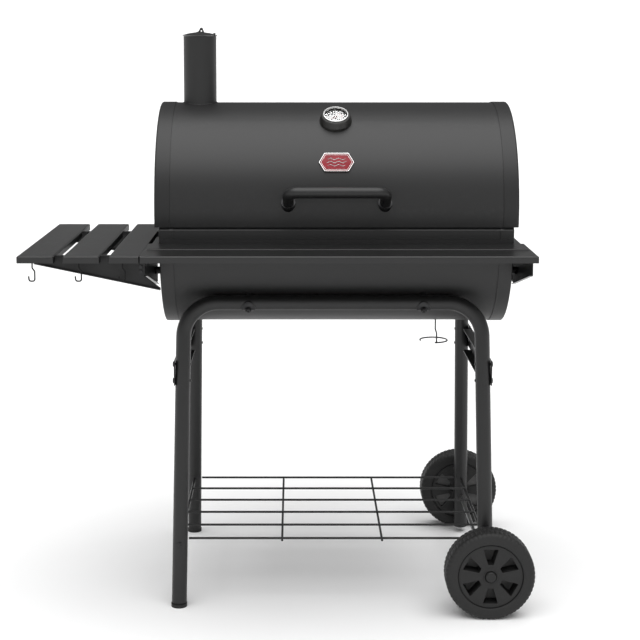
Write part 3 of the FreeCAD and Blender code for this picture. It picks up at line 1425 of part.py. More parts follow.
def barrel_rod(name, radius, start, end, side, sign):
    """A cylinder along one of the barrel bolts, between two distances from the barrel's axis."""
    tilt = f"{-sign} * barrel_bolt_angle"
    return radial_rod(name, radius, start, end, f"{side} * barrel_bolt_x", "body_axis_z", tilt)


def barrel_bolt_holes(name, sign=0):
    holes = []
    for way in ((-1, 1) if sign == 0 else (sign,)):
        for side in (-1, 1):
            hole = f"{name}BarrelHole{way + 1}{side + 1}"
            holes.append(barrel_rod(hole, "barrel_bolt_radius + drill_gap", "body_radius - 20", "300", side, way))
    return holes


def make_barrel_fixings():
    """Four bolts from inside the barrel, each through a spacer, the tube and a curved washer to a nut outside."""
    bolts, nuts, washers, spacers = [], [], [], []
    middle = BAR_DISTANCE
    for sign in (-1, 1):
        for side in (-1, 1):
            name = f"{sign + 1}{side + 1}"
            shank = barrel_rod(f"BarrelShank{name}", "barrel_bolt_radius", "body_radius - 5", f"{middle} + 26", side, sign)
            head = barrel_rod(f"BarrelHead{name}", "barrel_bolt_radius * 2", "body_radius - sheet - 5",
                              "body_radius - sheet - 0.6", side, sign)
            bolts.append(fuse(f"BarrelBolt{name}", [shank, head]))
            blank = barrel_rod(f"SaddleBlank{name}", "saddle_radius", middle, f"{middle} + tube_radius + saddle_sheet",
                               side, sign)
            skin = bar_rod(f"SaddleOuter{name}", "tube_radius + saddle_sheet", side, sign)
            core = bar_rod(f"SaddleCore{name}", "tube_radius", side, sign)
            bore = barrel_rod(f"SaddleBore{name}", "barrel_bolt_radius + drill_gap", middle, "300", side, sign)
            washers.append(cut(f"Saddle{name}", common(f"SaddleCurved{name}", blank, skin), [core, bore]))
            nut = barrel_rod(f"NutBlank{name}", "barrel_bolt_radius * 1.9", f"{middle} + tube_radius + saddle_sheet",
                             f"{middle} + tube_radius + saddle_sheet + 6", side, sign)
            nut_bore = barrel_rod(f"NutBore{name}", "barrel_bolt_radius", middle, "300", side, sign)
            nuts.append(cut(f"Nut{name}", nut, [nut_bore]))
            block = barrel_rod(f"SpacerBlock{name}", "spacer_radius", "body_radius - 5", middle, side, sign)
            barrel = rod(f"SpacerSkin{name}", "body_radius", ("-body_half", "0", "body_axis_z"), "2 * body_half", "X")
            tube = bar_rod(f"SpacerTube{name}", "tube_radius", side, sign)
            spacer_bore = barrel_rod(f"SpacerBoltBore{name}", "barrel_bolt_radius + drill_gap", "200", "300", side, sign)
            spacers.append(cut(f"BarrelSpacer{name}", block, [barrel, tube, spacer_bore]))
    subpart(group("BarrelBolts", bolts), "barrel_bolts")
    subpart(group("BarrelNuts", nuts), "barrel_nuts")
    subpart(group("SaddleWashers", washers), "saddle_washers")
    subpart(group("SaddleSpacers", spacers), "saddle_spacers")


BAR_DISTANCE = "sqrt(bar_y^2 + (body_axis_z - bar_z)^2)"


def bar_rod(name, radius, side, sign):
    """A cylinder along the leg frame's upper bar, about one of its barrel bolts."""
    start = (f"{side} * barrel_bolt_x - 40", f"{sign} * bar_y", "bar_z")
    return rod(name, radius, start, "80", "X")


# ---- braces between the front and the rear legs ----------------------------------------------------------

BRACE_BOLT_Z = ("brace_bolt_low_z", "brace_bolt_top_z")


def brace_face(side):
    """X of a brace's inner face: just outside the tubes at the brace's mid height."""
    middle = "(brace_low_z + brace_top_z) / 2"
    return f"({leg_x(side, middle)} + {side} * (tube_radius + 0.6))"


def make_brace(label, side):
    name = "Brace" + ("Right" if side > 0 else "Left")
    right = side > 0
    face = brace_face(side)
    body = plate_body(name, "YZ_Plane", face, [
        ("-brace_half", "brace_low_z"), ("brace_half", "brace_low_z"), ("brace_half", "brace_top_z"),
        ("-brace_half", "brace_top_z")], "brace_sheet", reverse=not right)
    for where, low in (("Low", "brace_low_z"), ("Top", "brace_top_z - brace_sheet")):
        high = f"{low} + brace_sheet"
        add_lip(body, name + where + "Lip", "YZ_Plane", f"{face} + {side} * brace_sheet", [
            ("-brace_lip_half", low), ("brace_lip_half", low), ("brace_lip_half", high), ("-brace_lip_half", high)],
            "brace_lip", right)
    holes = []
    for sign in (-1, 1):
        holes += brace_bolt_holes(name, sign, (side,))
    subpart(cut(name + "Drilled", body, holes), label)


def brace_bolt_holes(name, sign, sides=(-1, 1)):
    holes = []
    for side in sides:
        for number, z in enumerate(BRACE_BOLT_Z):
            start = (f"{leg_x(side, z)} - 40", leg_y(sign, z), z)
            holes.append(rod(f"{name}BraceHole{sign + 1}{side + 1}{number}", "bolt_radius + drill_gap", start, "80", "X"))
    return holes


def brace_bolts():
    bolts = []
    for side in (-1, 1):
        face = f"{brace_face(side)} + {side} * brace_sheet"
        for sign in (-1, 1):
            for number, z in enumerate(BRACE_BOLT_Z):
                name = f"BraceBolt{side + 1}{sign + 1}{number}"
                bolts.append(screw(name, (face, leg_y(sign, z), z), side, "2 * tube_radius + brace_sheet + 2", "X"))
    return bolts


# ---- wire rack between the legs --------------------------------------------------------------------------

def rack_bar_z():
    return "rack_z - 2 * rack_wire + rack_overlap"


def make_rack():
    """A wire rack: an end rod between each pair of legs, long wires from rod to rod and two cross wires beneath."""
    wire, low = "rack_wire", rack_bar_z()
    rods, z = [], low
    for side in (-1, 1):
        reach = f"({leg_y(1, z)} - tube_radius / cos(leg_lean * 1deg) - 0.4)"
        start = (leg_x(side, z), f"-{reach}", z)
        rods.append(rod(f"RackEnd{side + 1}", f"{wire} * 1.4", start, f"2 * {reach}", "Y"))
    for number, step in enumerate((-3, -1, 1, 3)):
        y = f"{step} / 2 * rack_pitch"
        start = (leg_x(-1, z), y, "rack_z")
        rods.append(rod(f"RackWire{number}", wire, start, f"{leg_x(1, z)} - {leg_x(-1, z)}", "X"))
    inner = f"({leg_x(1, z)} - tube_radius - 2)"
    for sign in (-1, 1):
        start = (f"2 * frame_x - {inner}", f"{sign} * rack_outer_y", "rack_z")
        rods.append(rod(f"RackSide{sign + 1}", wire, start, f"2 * ({inner} - frame_x)", "X"))
    for number, x in enumerate(("rack_cross_left", "rack_cross_right")):
        start = (x, "-rack_outer_y - 1", "rack_z - 2 * rack_wire + rack_overlap")
        rods.append(rod(f"RackCross{number}", wire, start, "2 * (rack_outer_y + 1)", "Y"))
    frame = fuse("RackWelded", rods)
    bores = []
    for sign in (-1, 1):
        bores += rack_screw_holes("Rack", sign, "screw_radius")
    subpart(cut("RackTapped", frame, bores), "bottom_rack")


RACK_SCREW_DEPTH = "14"


def rack_screw_holes(name, sign, radius="screw_radius * 0.7 + drill_gap"):
    """Holes along Y through both legs of a frame and on into the ends of the rack's end rods."""
    holes, z = [], rack_bar_z()
    inner = f"({leg_y(1, z)} - tube_radius / cos(leg_lean * 1deg) - 0.4)"
    for side in (-1, 1):
        reach = "screw_radius * 0.7" if name == "Rack" else radius
        start = f"{inner} - {RACK_SCREW_DEPTH}" if sign > 0 else f"-({inner}) - 80"
        holes.append(rod(f"{name}RackHole{sign + 1}{side + 1}", reach, (leg_x(side, z), start, z),
                         f"80 + {RACK_SCREW_DEPTH}", "Y"))
    return holes


def rack_screws():
    screws, z = [], rack_bar_z()
    outer = f"({leg_y(1, z)} + tube_radius / cos(leg_lean * 1deg) + 0.45)"
    for side in (-1, 1):
        for sign in (-1, 1):
            face = (leg_x(side, z), f"{sign} * {outer}", z)
            length = f"2 * tube_radius + {RACK_SCREW_DEPTH} - 2"
            name = f"RackScrew{side + 1}{sign + 1}"
            screws.append(screw(name, face, sign, length, "Y", "screw_radius * 0.7"))
    return screws


# ---- axle and wheels -------------------------------------------------------------------------------------

def make_axle():
    reach = "wheel_y + hub_outer + 5"
    subpart(rod("Axle", "axle_radius", (AXLE_X, f"-({reach})", "wheel_radius"), f"2 * ({reach})", "Y"), "axle")
    nuts = []
    for sign in (-1, 1):
        start = "wheel_y + hub_outer + 0.5" if sign > 0 else "-(wheel_y + hub_outer + 5)"
        blank = rod(f"AxleNutBlank{sign + 1}", "axle_radius + 3.2", (AXLE_X, start, "wheel_radius"), "4.5", "Y")
        bore = rod(f"AxleNutBore{sign + 1}", "axle_radius", (AXLE_X, "-400", "wheel_radius"), "800", "Y")
        nuts.append(cut(f"AxleNut{sign + 1}", blank, [bore]))
    subpart(group("AxleNuts", nuts), "axle_nuts")


def make_wheel(label, sign):
    """A moulded wheel about its own axis: outer face up, a long hub behind and six windows in each side's web."""
    name = "Front" if sign < 0 else "Rear"
    body = new_body(f"{name}Wheel")
    bore = "axle_radius + run_gap"
    outline(sketch_on(body, f"{name}WheelSection", "XZ_Plane"), [
        (bore, "-hub_inner"), ("hub_radius", "-hub_inner"), ("hub_radius", "-web_half"), ("rim_inner", "-web_half"),
        ("rim_outer", "-wheel_half"), ("wheel_radius - tyre_round", "-wheel_half", "ccw", "tyre_round"),
        ("wheel_radius", "tyre_round - wheel_half"), ("wheel_radius", "wheel_half - tyre_round", "ccw", "tyre_round"),
        ("wheel_radius - tyre_round", "wheel_half"), ("rim_outer", "wheel_half"), ("rim_inner", "web_half"),
        ("hub_ring", "web_half"), ("hub_ring", "web_half + hub_ring_height"),
        ("hub_recess", "web_half + hub_ring_height"), ("hub_recess", "hub_outer"), (bore, "hub_outer"),
    ])
    revolve(body, body.Group[-1])
    for face, depth, depth_sign in (("web_half", "window_depth", 1), ("-web_half", "window_back_depth", -1)):
        window = sketch_on(body, f"{name}Window{depth_sign + 1}", "XY_Plane", face)
        outline(window, [
            ("-window_in_half", "window_in"), ("window_in_half", "window_in"),
            ("window_out_half", "window_out"), ("-window_out_half", "window_out")])
        sunk = pocket(body, window, depth, reverse=depth_sign < 0)
        pattern_round(body, sunk, window, 6)
    place = (AXLE_X, f"{sign} * wheel_y", "wheel_radius")
    move(body, *place, (1, 0, 0), "90" if sign < 0 else "-90")
    subpart(body, label)


def make_hub_cap(label, sign):
    """A thin dome pressed over the axle's end."""
    name = "Front" if sign < 0 else "Rear"
    body = new_body(f"{name}HubCap")
    wide, top, bend = "hub_cap_radius", "hub_outer + hub_cap_height", "hub_cap_round"
    outline(sketch_on(body, f"{name}HubCapSection", "XZ_Plane"), [
        (f"{wide} - sheet", "hub_outer"), (wide, "hub_outer"), (wide, f"{top} - {bend}", "ccw", bend),
        (f"{wide} - {bend}", top), ("0", top), ("0", f"{top} - sheet"),
        (f"{wide} - {bend}", f"{top} - sheet", "cw", f"{bend} - sheet"), (f"{wide} - sheet", f"{top} - {bend}"),
    ])
    revolve(body, body.Group[-1])
    place = (AXLE_X, f"{sign} * wheel_y", "wheel_radius")
    move(body, *place, (1, 0, 0), "90" if sign < 0 else "-90")
    subpart(body, label)


# ---- the grill -------------------------------------------------------------------------------------------

make_body_shell()
make_body_cap("body_end_cap_left", -1)
make_body_cap("body_end_cap_right", 1)
make_damper()
make_grate_ledges()
make_charcoal_grate()
make_cooking_grates()
make_hood_shell()
make_hood_cap("hood_end_cap_left", -1)
make_hood_cap("hood_end_cap_right", 1)
make_handle()
make_handle_fixings()
make_chimney()
make_chimney_cap()
make_gauge()
make_badge()
make_hinges()
make_front_shelf()
make_side_slats()
make_bracket("shelf_bracket_left", -1)
make_bracket("shelf_bracket_right", 1)
make_side_arms()
make_hooks()
make_grease_ring()
make_leg_frame("front_leg_frame", -1)
make_leg_frame("rear_leg_frame", 1)
make_leg_plugs()
make_barrel_fixings()
make_brace("leg_brace_left", -1)
make_brace("leg_brace_right", 1)
make_rack()
subpart(group("FrameBolts", shelf_bolts() + brace_bolts()), "frame_bolts")
subpart(group("SmallScrews", shelf_screws() + rack_screws()), "small_screws")
make_axle()
for wheel_name, wheel_sign in (("front", -1), ("rear", 1)):
    make_wheel(f"{wheel_name}_wheel", wheel_sign)
    make_hub_cap(f"{wheel_name}_hub_cap", wheel_sign)
doc.recompute()

# ---- checks and files ------------------------------------------------------------------------------------

faults = []
for item in doc.Objects:
    states = [state for state in item.State if "Invalid" in state or "Error" in state]
    if states:
        faults.append(f"{item.Name}: {states}")
for item in subparts:
    if item.Shape.isNull() or not item.Shape.isValid() or not item.Shape.Solids:
        faults.append(f"{item.Label}: no valid solid")
if faults or len(subparts) > MOST_FILES:
    raise ValueError(f"{len(subparts)} sub-parts, faults: {faults}")

os.makedirs("parts", exist_ok=True)
for item in subparts:
    item.Shape.exportStep(os.path.join("parts", item.Label + ".step"))
print(f"{len(subparts)} sub-parts written")
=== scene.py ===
import math

import bmesh
import bpy
from mathutils import Matrix, Vector
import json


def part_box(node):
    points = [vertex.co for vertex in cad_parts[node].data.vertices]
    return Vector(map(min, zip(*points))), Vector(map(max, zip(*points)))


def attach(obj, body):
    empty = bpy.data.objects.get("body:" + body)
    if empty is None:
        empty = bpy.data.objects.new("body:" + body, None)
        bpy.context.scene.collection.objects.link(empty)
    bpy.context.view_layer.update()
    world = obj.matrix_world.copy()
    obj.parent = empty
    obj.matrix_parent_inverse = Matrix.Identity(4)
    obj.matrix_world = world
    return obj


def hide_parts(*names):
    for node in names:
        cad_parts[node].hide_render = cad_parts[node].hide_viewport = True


# A barrel charcoal grill on a pale floor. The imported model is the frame: its sheet metal, tube and wire stay
# and get their finish here. The wheels, the badge, the fasteners of barrel and legs and the chimney's weld
# bead are modelled here at the places that the frame gives. The dial's marks are part of its finish.

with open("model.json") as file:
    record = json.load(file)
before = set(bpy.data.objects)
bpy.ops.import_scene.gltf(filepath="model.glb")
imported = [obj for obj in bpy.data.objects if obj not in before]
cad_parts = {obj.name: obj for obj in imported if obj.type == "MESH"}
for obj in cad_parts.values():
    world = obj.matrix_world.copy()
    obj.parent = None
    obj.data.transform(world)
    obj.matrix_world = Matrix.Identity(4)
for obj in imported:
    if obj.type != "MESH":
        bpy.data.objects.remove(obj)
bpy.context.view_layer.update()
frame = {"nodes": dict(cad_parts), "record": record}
nodes = frame["nodes"]
scene = bpy.context.scene

MM = 0.001
HOOD_RADIUS = 0.22725                   # of the hood sheet's outside
BARREL_RADIUS = 0.224                   # of the barrel's outside
GAUGE_LEAN = math.radians(33)           # how far the thermometer leans towards the front
BADGE_LEAN = math.radians(62.4)
WORLD_FRONT = 0.69                      # the studio's brightness in front of the grill and behind it
WORLD_BACK = 0.15
CAMERA_PLACE = (0.0239, -3.2437, 1.2292)
CAMERA_DIP = 6.88                       # degrees below level


# ---- materials -----------------------------------------------------------------------------------

class Finish:
    """A node material under construction: every method adds nodes and returns a socket."""

    def __init__(self, name, **shader):
        self.material = bpy.data.materials.new(name)
        self.material.use_nodes = True
        self.tree = self.material.node_tree
        self.shader = self.tree.nodes["Principled BSDF"]
        for socket, value in shader.items():
            self.shader.inputs[socket.replace("_", " ")].default_value = value
        self.place = self.node("ShaderNodeTexCoord").outputs["Object"]

    def node(self, kind, **settings):
        made = self.tree.nodes.new(kind)
        for key, value in settings.items():
            setattr(made, key, value)
        return made

    def link(self, source, target):
        self.tree.links.new(source, target)

    def noise(self, scale, detail=3.0, roughness=0.55):
        made = self.node("ShaderNodeTexNoise")
        made.inputs["Scale"].default_value = scale
        made.inputs["Detail"].default_value = detail
        made.inputs["Roughness"].default_value = roughness
        self.link(self.place, made.inputs["Vector"])
        return made.outputs["Fac"]

    def cells(self, scale):
        made = self.node("ShaderNodeTexVoronoi")
        made.inputs["Scale"].default_value = scale
        self.link(self.place, made.inputs["Vector"])
        return made.outputs["Distance"]

    def math(self, kind, first, second=None, clamp=False):
        made = self.node("ShaderNodeMath", operation=kind, use_clamp=clamp)
        for number, value in enumerate((first, second)):
            if value is None:
                continue
            if isinstance(value, (int, float)):
                made.inputs[number].default_value = value
            else:
                self.link(value, made.inputs[number])
        return made.outputs["Value"]

    def ramp(self, factor, low, high, start, end):
        """Maps a factor between low and high to values or colours between start and end."""
        if isinstance(start, (int, float)):
            made = self.node("ShaderNodeMapRange")
            for name, value in (("From Min", low), ("From Max", high), ("To Min", start), ("To Max", end)):
                made.inputs[name].default_value = value
            self.link(factor, made.inputs["Value"])
            return made.outputs["Result"]
        made = self.node("ShaderNodeValToRGB")
        for stop, position, colour in zip(made.color_ramp.elements, (low, high), (start, end)):
            stop.position = position
            stop.color = (*colour, 1)
        self.link(factor, made.inputs["Fac"])
        return made.outputs["Color"]

    def mix(self, factor, first, second):
        """Goes from the first colour to the second as factor, a socket, goes from 0 to 1."""
        made = self.node("ShaderNodeMix", data_type="RGBA")
        for name, kind, value in (("Factor", "VALUE", factor), ("A", "RGBA", first), ("B", "RGBA", second)):
            socket = [s for s in made.inputs if s.name == name and s.type == kind][0]
            if hasattr(value, "is_linked"):
                self.link(value, socket)
            else:
                socket.default_value = (*value, 1)
        return [s for s in made.outputs if s.type == "RGBA"][0]

    def edges(self):
        """1 on sharp outer edges, 0 elsewhere."""
        pointed = self.node("ShaderNodeNewGeometry").outputs["Pointiness"]
        return self.ramp(pointed, 0.62, 0.80, 0.0, 1.0)

    def facing(self, axis):
        """How far the surface faces along an axis, "X", "Y" or "Z", from -1 to 1."""
        split = self.node("ShaderNodeSeparateXYZ")
        self.link(self.node("ShaderNodeNewGeometry").outputs["Normal"], split.inputs["Vector"])
        return split.outputs[axis]

    def facing_up(self):
        """1 where a surface faces up, 0 where it stands or faces down."""
        return self.ramp(self.facing("Z"), 0.55, 1.0, 0.0, 1.0)

    def facing_side(self):
        """1 where a surface faces left or right, 0 elsewhere."""
        return self.ramp(self.math("ABSOLUTE", self.facing("X")), 0.75, 0.95, 0.0, 1.0)

    def set(self, **sockets):
        for name, socket in sockets.items():
            self.link(socket, self.shader.inputs[name.replace("_", " ")])
        return self

    def bump(self, *layers):
        """Stacks bumps: (height socket, strength, distance in metres)."""
        normal = None
        for height, strength, distance in layers:
            made = self.node("ShaderNodeBump")
            made.inputs["Strength"].default_value = strength
            made.inputs["Distance"].default_value = distance
            self.link(height, made.inputs["Height"])
            if normal is not None:
                self.link(normal, made.inputs["Normal"])
            normal = made.outputs["Normal"]
        self.link(normal, self.shader.inputs["Normal"])
        return self.material


def paint(name, colour, roughness, peel=0.08, dust=0.05, level=0.5, painted_shade_sides=False):
    """Sprayed black paint: faint orange peel, slow changes of gloss, dust on top and rubbed edges."""
    made = Finish(name, Metallic=0.0, Specular_IOR_Level=level)
    cloud = made.noise(5.0, 3.0)
    speck = made.noise(260.0, 2.0)
    body = made.ramp(cloud, 0.3, 0.7, tuple(c * 0.95 for c in colour), tuple(c * 1.05 for c in colour))
    settled = made.ramp(made.noise(60.0, 6.0, 0.7), 0.40, 0.75, 0.0, dust)
    fine_dust = made.math("MULTIPLY", made.facing_up(), settled)
    dusty = made.mix(fine_dust, body, (0.07, 0.069, 0.066))
    rubbed = made.math("MULTIPLY", made.edges(), made.ramp(made.noise(90.0, 5.0), 0.45, 0.7, 0.0, 0.25))
    worn = made.mix(rubbed, dusty, (0.08, 0.08, 0.082))
    gloss = made.math("ADD", made.ramp(cloud, 0.25, 0.75, roughness - 0.008, roughness + 0.008),
                      made.math("MULTIPLY", fine_dust, 0.3))
    gloss = made.math("ADD", gloss, made.ramp(speck, 0.3, 0.7, -0.01, 0.01), clamp=True)
    made.set(Base_Color=worn, Roughness=gloss)
    # Where asked, faces that look left or right lose nearly all their reflection: painted shade on those
    # sides.
    if painted_shade_sides:
        made.set(Specular_IOR_Level=made.ramp(made.facing_side(), 0.0, 1.0, level, 0.02))
    return made.bump((made.noise(420.0, 2.0, 0.4), peel, 0.00015),
                     (made.noise(1700.0, 1.0, 0.5), peel * 0.6, 0.00006))


def simple(name, tint, colours, gloss, roughness, relief, **shader):
    """A finish whose colour and gloss each follow a noise. Relief follows a third, or the gloss if None."""
    made = Finish(name, **shader)
    shine = made.noise(*gloss)
    made.set(Base_Color=made.ramp(made.noise(*tint), 0.3, 0.7, *colours),
             Roughness=made.ramp(shine, 0.3, 0.7, *roughness))
    scale, strength, distance = relief
    return made.bump((shine if scale is None else made.noise(scale), strength, distance))


def make_materials():
    made = {
        "body_paint": paint("body_paint", (0.0105, 0.0105, 0.0107), 0.46, level=0.44),
        "hood_paint": paint("hood_paint", (0.0105, 0.0105, 0.0107), 0.44, level=0.42),
        # The shelf paint's faces that look left or right carry painted shade: their reflection is turned down.
        "shelf_paint": paint("shelf_paint", (0.0098, 0.0098, 0.01), 0.32, peel=0.05, dust=0.03, level=0.44,
                             painted_shade_sides=True),
        "frame_paint": paint("frame_paint", (0.0105, 0.0105, 0.0107), 0.42, peel=0.12, dust=0.04,
                             level=0.41),
        "end_paint": paint("end_paint", (0.0105, 0.0105, 0.0107), 0.45, level=0.385),
        "arm_paint": paint("arm_paint", (0.0095, 0.0095, 0.0097), 0.42, peel=0.05, dust=0.03, level=0.33),
        "wire_paint": paint("wire_paint", (0.010, 0.010, 0.0102), 0.5, level=0.12),
        "bolt_steel": simple("bolt_steel", (60.0, 4.0), ((0.20, 0.20, 0.205), (0.36, 0.36, 0.355)),
                             (900.0, 3.0, 0.6), (0.28, 0.5), (None, 0.2, 0.00006), Metallic=1.0),
        "bolt_black": simple("bolt_black", (80.0, 4.0), ((0.014, 0.014, 0.015), (0.035, 0.035, 0.036)),
                             (700.0, 3.0, 0.6), (0.34, 0.5), (None, 0.25, 0.00006), Metallic=0.6),
        "hub_cap_plastic": simple("hub_cap_plastic", (40.0, 4.0),
                                  ((0.013, 0.013, 0.013), (0.019, 0.019, 0.0185)), (120.0, 4.0), (0.32, 0.45),
                                  (800.0, 0.12, 0.00008), Metallic=0.0, Specular_IOR_Level=0.25),
        "gauge_black": simple("gauge_black", (60.0, 4.0), ((0.010, 0.010, 0.009), (0.018, 0.0175, 0.016)),
                              (150.0, 4.0), (0.26, 0.38), (900.0, 0.1, 0.00008), Metallic=0.0,
                              Specular_IOR_Level=0.5),
        "gauge_trim": simple("gauge_trim", (200.0, 3.0), ((0.62, 0.62, 0.62), (0.78, 0.78, 0.77)),
                             (420.0, 3.0), (0.12, 0.24), (1500.0, 0.08, 0.00004), Metallic=1.0),
        "needle_red": simple("needle_red", (500.0,), ((0.10, 0.008, 0.006), (0.15, 0.012, 0.008)),
                             (900.0,), (0.3, 0.42), (2000.0, 0.1, 0.00003), Metallic=0.0),
        "badge_enamel": simple("badge_enamel", (55.0, 4.0), ((0.19, 0.006, 0.013), (0.27, 0.010, 0.020)),
                               (260.0,), (0.26, 0.38), (600.0, 0.1, 0.00006), Metallic=0.0,
                               Specular_IOR_Level=0.22, Coat_Weight=0.08, Coat_Roughness=0.12),
    }
    iron = Finish("grate_iron", Metallic=0.35, Specular_IOR_Level=0.45)
    grain = iron.noise(310.0, 6.0, 0.7)
    pits = iron.cells(520.0)
    rust = iron.noise(18.0, 5.0, 0.65)
    iron.set(Base_Color=iron.ramp(rust, 0.32, 0.68, (0.016, 0.015, 0.014), (0.042, 0.037, 0.033)),
             Roughness=iron.ramp(grain, 0.3, 0.7, 0.55, 0.82))
    made["grate_iron"] = iron.bump((grain, 0.45, 0.0006), (pits, 0.25, 0.0003))

    # The second finish, for the web's core, is the same plastic seven times lighter: painted light on the
    # floors of the wheel's sunk windows, which their depth would leave in shade.
    for name, painted_light_gain in (("wheel_plastic", 1.0), ("web_painted_light", 7.0)):
        rubber = Finish(name, Metallic=0.0, Specular_IOR_Level=0.34)
        darkest, lightest = (0.010, 0.010, 0.010), (0.0165, 0.0163, 0.016)
        colours = [tuple(c * painted_light_gain for c in colour) for colour in (darkest, lightest)]
        mould = rubber.noise(1100.0, 3.0, 0.6)
        scuff = rubber.noise(35.0, 6.0, 0.72)
        worn = rubber.math("MULTIPLY", rubber.edges(), 0.5)
        rubber.set(Base_Color=rubber.mix(worn, rubber.ramp(scuff, 0.35, 0.75, *colours), (0.06, 0.06, 0.058)),
                   Roughness=rubber.ramp(scuff, 0.3, 0.7, 0.48, 0.66))
        made[name] = rubber.bump((mould, 0.35, 0.00012), (rubber.cells(1500.0), 0.12, 0.00006))

    glass = Finish("gauge_glass", Metallic=0.0, IOR=1.45, Transmission_Weight=1.0, Alpha=0.25)
    glass.set(Base_Color=glass.ramp(glass.noise(90.0), 0.3, 0.7, (0.96, 0.975, 0.98), (1.0, 1.0, 1.0)),
              Roughness=glass.ramp(glass.noise(160.0, 4.0), 0.4, 0.8, 0.02, 0.07))
    made["gauge_glass"] = glass.bump((glass.noise(60.0), 0.02, 0.00005))

    return made


def dial_finish(centre, across, up):
    """White enamel with generic printed marks: a grey scale arc, long and short ticks and a warm band."""
    made = Finish("dial_face", Metallic=0.0, Specular_IOR_Level=0.5)
    away = made.node("ShaderNodeVectorMath", operation="SUBTRACT")
    away.inputs[1].default_value = centre
    made.link(made.place, away.inputs[0])
    spots = []
    for direction in (across, up):
        along = made.node("ShaderNodeVectorMath", operation="DOT_PRODUCT")
        along.inputs[1].default_value = direction
        made.link(away.outputs["Vector"], along.inputs[0])
        spots.append(along.outputs["Value"])
    angle = made.math("ARCTAN2", spots[0], spots[1])
    squares = [made.math("MULTIPLY", spot, spot) for spot in spots]
    radius = made.math("SQRT", made.math("ADD", *squares))

    def between(value, low, high):
        above = made.math("GREATER_THAN", value, low)
        return made.math("MULTIPLY", above, made.math("LESS_THAN", value, high))

    def ticks(count, width, inner, outer):
        turn = made.math("MULTIPLY", angle, count / (2 * math.pi))
        part = made.math("FRACT", made.math("ADD", turn, 0.5))
        near = made.math("ABSOLUTE", made.math("SUBTRACT", part, 0.5))
        arc = made.math("MULTIPLY", near, made.math("MULTIPLY", radius, 2 * math.pi / count))
        return made.math("MULTIPLY", made.math("LESS_THAN", arc, width / 2), between(radius, inner, outer))

    shown = made.math("LESS_THAN", made.math("ABSOLUTE", angle), math.radians(136))
    marks = made.math("MAXIMUM", ticks(48, 0.00035, 0.0192, 0.0215), ticks(12, 0.0007, 0.0172, 0.0215))
    marks = made.math("MULTIPLY", marks, shown)
    line = made.math("MULTIPLY", between(radius, 0.0215, 0.0220), shown)
    band = between(radius, 0.0140, 0.0163)
    warm = made.math("MULTIPLY", band, between(angle, math.radians(8), math.radians(78)))
    cool = made.math("MULTIPLY", band, between(angle, math.radians(-82), math.radians(4)))
    white = made.ramp(made.noise(90.0, 4.0), 0.3, 0.7, (0.25, 0.249, 0.243), (0.30, 0.299, 0.292))
    face = made.mix(warm, white, (0.30, 0.06, 0.035))
    face = made.mix(cool, face, (0.20, 0.21, 0.22))
    face = made.mix(made.math("MAXIMUM", marks, line), face, (0.03, 0.03, 0.03))
    made.set(Base_Color=face, Roughness=made.ramp(made.noise(300.0), 0.3, 0.7, 0.34, 0.46))
    return made.bump((made.noise(700.0), 0.06, 0.00005))


# ---- mesh helpers --------------------------------------------------------------------------------

def piece(name, mesh, body, material, crease=32):
    """A finished piece that rides on a CAD body, smooth but for the edges sharper than crease degrees."""
    bmesh.ops.remove_doubles(mesh, verts=mesh.verts, dist=0.000002)
    bmesh.ops.recalc_face_normals(mesh, faces=mesh.faces)
    for face in mesh.faces:
        face.smooth = True
    for edge in mesh.edges:
        edge.smooth = len(edge.link_faces) == 2 and edge.calc_face_angle(0) < math.radians(crease)
    data = bpy.data.meshes.new(name)
    mesh.to_mesh(data)
    mesh.free()
    data.materials.append(material)
    made = bpy.data.objects.new(name, data)
    scene.collection.objects.link(made)
    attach(made, body)
    return made


def frame_at(origin, axis, across=(1, 0, 0)):
    """A matrix whose local Z is axis and whose local X is as near to across as can be."""
    up = Vector(axis).normalized()
    side = Vector(across) - up * up.dot(Vector(across))
    side.normalize()
    turn = Matrix((side, up.cross(side), up)).transposed().to_4x4()
    return Matrix.Translation(Vector(origin)) @ turn


def turned(mesh, profile, place, segments=48, closed=False, shape=None):
    """Turns a profile of (radius, height) about local Z; shape may move a point by its angle."""
    rings = []
    for radius, height in profile:
        if radius < 1e-7:
            rings.append([mesh.verts.new(place @ Vector((0, 0, height)))])
            continue
        ring = []
        for step in range(segments):
            angle = 2 * math.pi * step / segments
            r, h = shape(radius, height, step) if shape else (radius, height)
            ring.append(mesh.verts.new(place @ Vector((r * math.cos(angle), r * math.sin(angle), h))))
        rings.append(ring)
    pairs = list(zip(rings, rings[1:])) + ([(rings[-1], rings[0])] if closed else [])
    for low, high in pairs:
        for step in range(segments):
            after = (step + 1) % segments
            corners = [low[step % len(low)], low[after % len(low)],
                       high[after % len(high)], high[step % len(high)]]
            corners = [v for index, v in enumerate(corners) if v not in corners[:index]]
            if len(corners) > 2:
                mesh.faces.new(corners)


def plate(mesh, outlines, low, high, bevel, place):
    """A flat plate between two heights with rounded rims: the first outline is its edge, the rest holes."""
    curve = bpy.data.curves.new("plate", "CURVE")
    curve.dimensions = "2D"
    curve.fill_mode = "BOTH"
    curve.extrude = (high - low) / 2 - bevel
    curve.bevel_depth = bevel
    curve.bevel_resolution = 2
    curve.offset = -bevel
    for points in outlines:
        spline = curve.splines.new("POLY")
        spline.points.add(len(points) - 1)
        for point, (x, y) in zip(spline.points, points):
            point.co = (x, y, 0, 1)
        spline.use_cyclic_u = True
    holder = bpy.data.objects.new("plate", curve)
    scene.collection.objects.link(holder)
    data = bpy.data.meshes.new_from_object(holder.evaluated_get(bpy.context.evaluated_depsgraph_get()))
    data.transform(place @ Matrix.Translation((0, 0, (low + high) / 2)))
    mesh.from_mesh(data)
    bpy.data.objects.remove(holder)
    bpy.data.meshes.remove(data)


